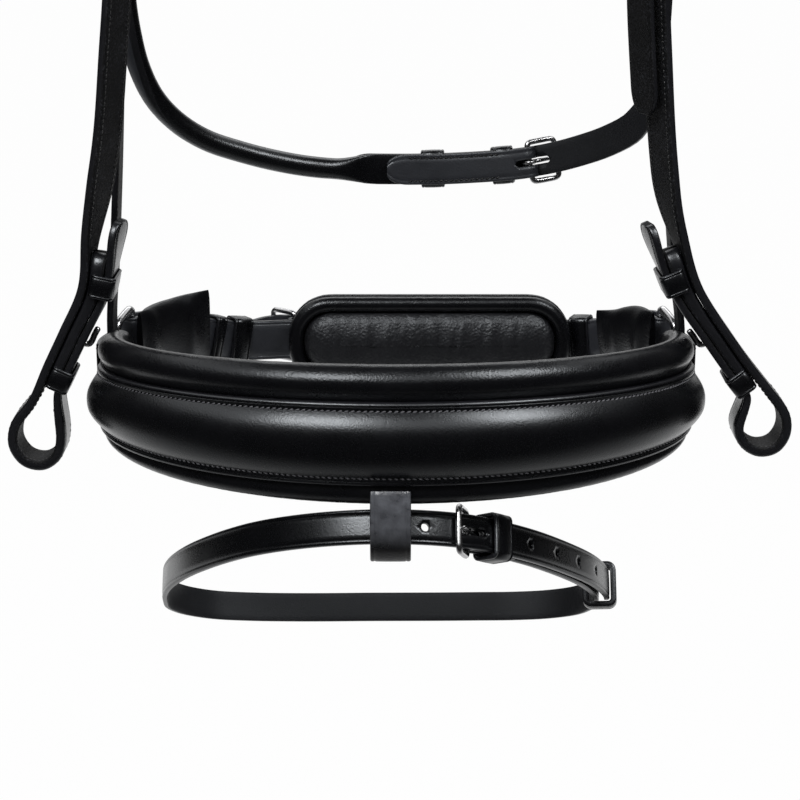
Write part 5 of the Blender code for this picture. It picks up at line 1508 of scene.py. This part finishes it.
# %% [markdown]
# ## Floor, light and camera
# Black leather is read by its highlights, so the lamps are large and soft: one above on the left, one above
# on the right and a weak one from behind. The background is white where the camera looks at it, and a
# reflection sees it only in part, which keeps the leather black. The camera stands where the photographer
# stood, a little above the noseband.

# %% Floor and world
FLOOR_Z, PAPER, FLOOR_GLOW, FLOOR_GLOSS = -0.75, (0.9, 0.9, 0.9, 1), 0.98, 0.02
ROOM_LIGHT, ROOM_GLOSS, BEHIND, STRIP = 0.25, 0.02, 0.7, 0.9


def seen_by(tree):
    """How much of a ray comes straight from the camera, and how much is a reflection."""
    straight, through, mirrored = (tree.node("ShaderNodeLightPath", out=f"Is {kind} Ray")
                                   for kind in ("Camera", "Transmission", "Glossy"))
    return straight + through, mirrored


def place_in(tree, kind, axis):
    return tree.node("ShaderNodeSeparateXYZ", out=axis, Vector=tree.node("ShaderNodeTexCoord", out=kind))


bpy.ops.object.select_all(action="DESELECT")
bpy.ops.mesh.primitive_plane_add(size=12, location=(0, 2, FLOOR_Z))
floor = bpy.context.object
floor.name = "floor"
pale = bpy.data.materials.new("pale_floor")
pale.use_nodes = True
pale.node_tree.nodes.clear()
tree = Tree(pale.node_tree)
looked, reflected = seen_by(tree)
across = place_in(tree, "Object", "X")
beyond = tree.graded(place_in(tree, "Object", "Y"), -2.45, -1.4)
mirrored = FLOOR_GLOSS + (1 - FLOOR_GLOSS) * beyond * (1 - tree.graded(across * across, 0.2, 1.0))
glow = tree.node("ShaderNodeEmission", Strength=1 - reflected + reflected * mirrored)
mixer = tree.node("ShaderNodeMixShader", Fac=FLOOR_GLOW * looked + reflected)
paint = tree.node("ShaderNodeBsdfDiffuse", Color=PAPER)
mixed = mixer.link.node
tree.tree.links.new(paint.link, mixed.inputs[1])
tree.tree.links.new(glow.link, mixed.inputs[2])
tree.tree.links.new(mixer.link, tree.tree.nodes.new("ShaderNodeOutputMaterial").inputs["Surface"])
floor.data.materials.append(pale)

world = bpy.data.worlds.new("studio")
bpy.context.scene.world = world
world.use_nodes = True
tree = Tree(world.node_tree)
looked, reflected = seen_by(tree)
up = place_in(tree, "Generated", "Z")
strip = tree.graded(up, 0.5, 0.66) * (1 - tree.graded(up, 0.76, 0.9))
strip = strip * (1 - tree.graded(place_in(tree, "Generated", "X"), 0.55, 0.8))
behind = tree.graded(place_in(tree, "Generated", "Y"), 0.6, 1.0)
mirrored = ROOM_GLOSS + (1 - ROOM_GLOSS) * BEHIND * behind + STRIP * strip
strength = looked + reflected * mirrored + ROOM_LIGHT * (1 - looked - reflected)
background = world.node_tree.nodes["Background"]
background.inputs["Color"].default_value = (1, 1, 1, 1)
world.node_tree.links.new(strength.link, background.inputs["Strength"])
bpy.context.scene.view_settings.view_transform = "Standard"
print("floor and world made")


# %% Lamps and camera
LENS, SENSOR, SHIFT, TILT, CAMERA_PLACE = 88.965, 36.0, 0.005, 72.6, (0, -0.775, -0.195)
NOSE_LEVEL = -0.42


def softbox(name, azimuth, elevation, far, target, size, power):
    """A lamp seen from the noseband at an angle round from the front and up, in degrees."""
    turn, up = math.radians(azimuth), math.radians(elevation)
    place = Vector((far * math.sin(turn) * math.cos(up), -far * math.cos(turn) * math.cos(up),
                    NOSE_LEVEL + far * math.sin(up)))
    bpy.ops.object.light_add(type="AREA", location=place)
    lamp = bpy.context.object
    lamp.name = name
    lamp.data.shape, lamp.data.size, lamp.data.size_y = "RECTANGLE", *size
    lamp.data.energy = power
    lamp.rotation_euler = (Vector(target) - place).to_track_quat("-Z", "Y").to_euler()


softbox("left_above", -30, 46, 1.2, (0, -0.03, -0.4), (0.5, 0.42), 6)
softbox("right_above", 52, 50, 1.2, (0, -0.03, -0.4), (0.42, 0.42), 5.2)
softbox("behind", 180, 40, 1.5, (0, 0, -0.4), (1.2, 0.4), 2)
bpy.ops.object.camera_add(location=CAMERA_PLACE, rotation=(math.radians(TILT), 0, 0))
camera = bpy.context.object
camera.data.lens, camera.data.sensor_width, camera.data.shift_x = LENS, SENSOR, SHIFT
camera.data.clip_start = 0.01
bpy.context.scene.camera = camera
print("lamps and camera made")
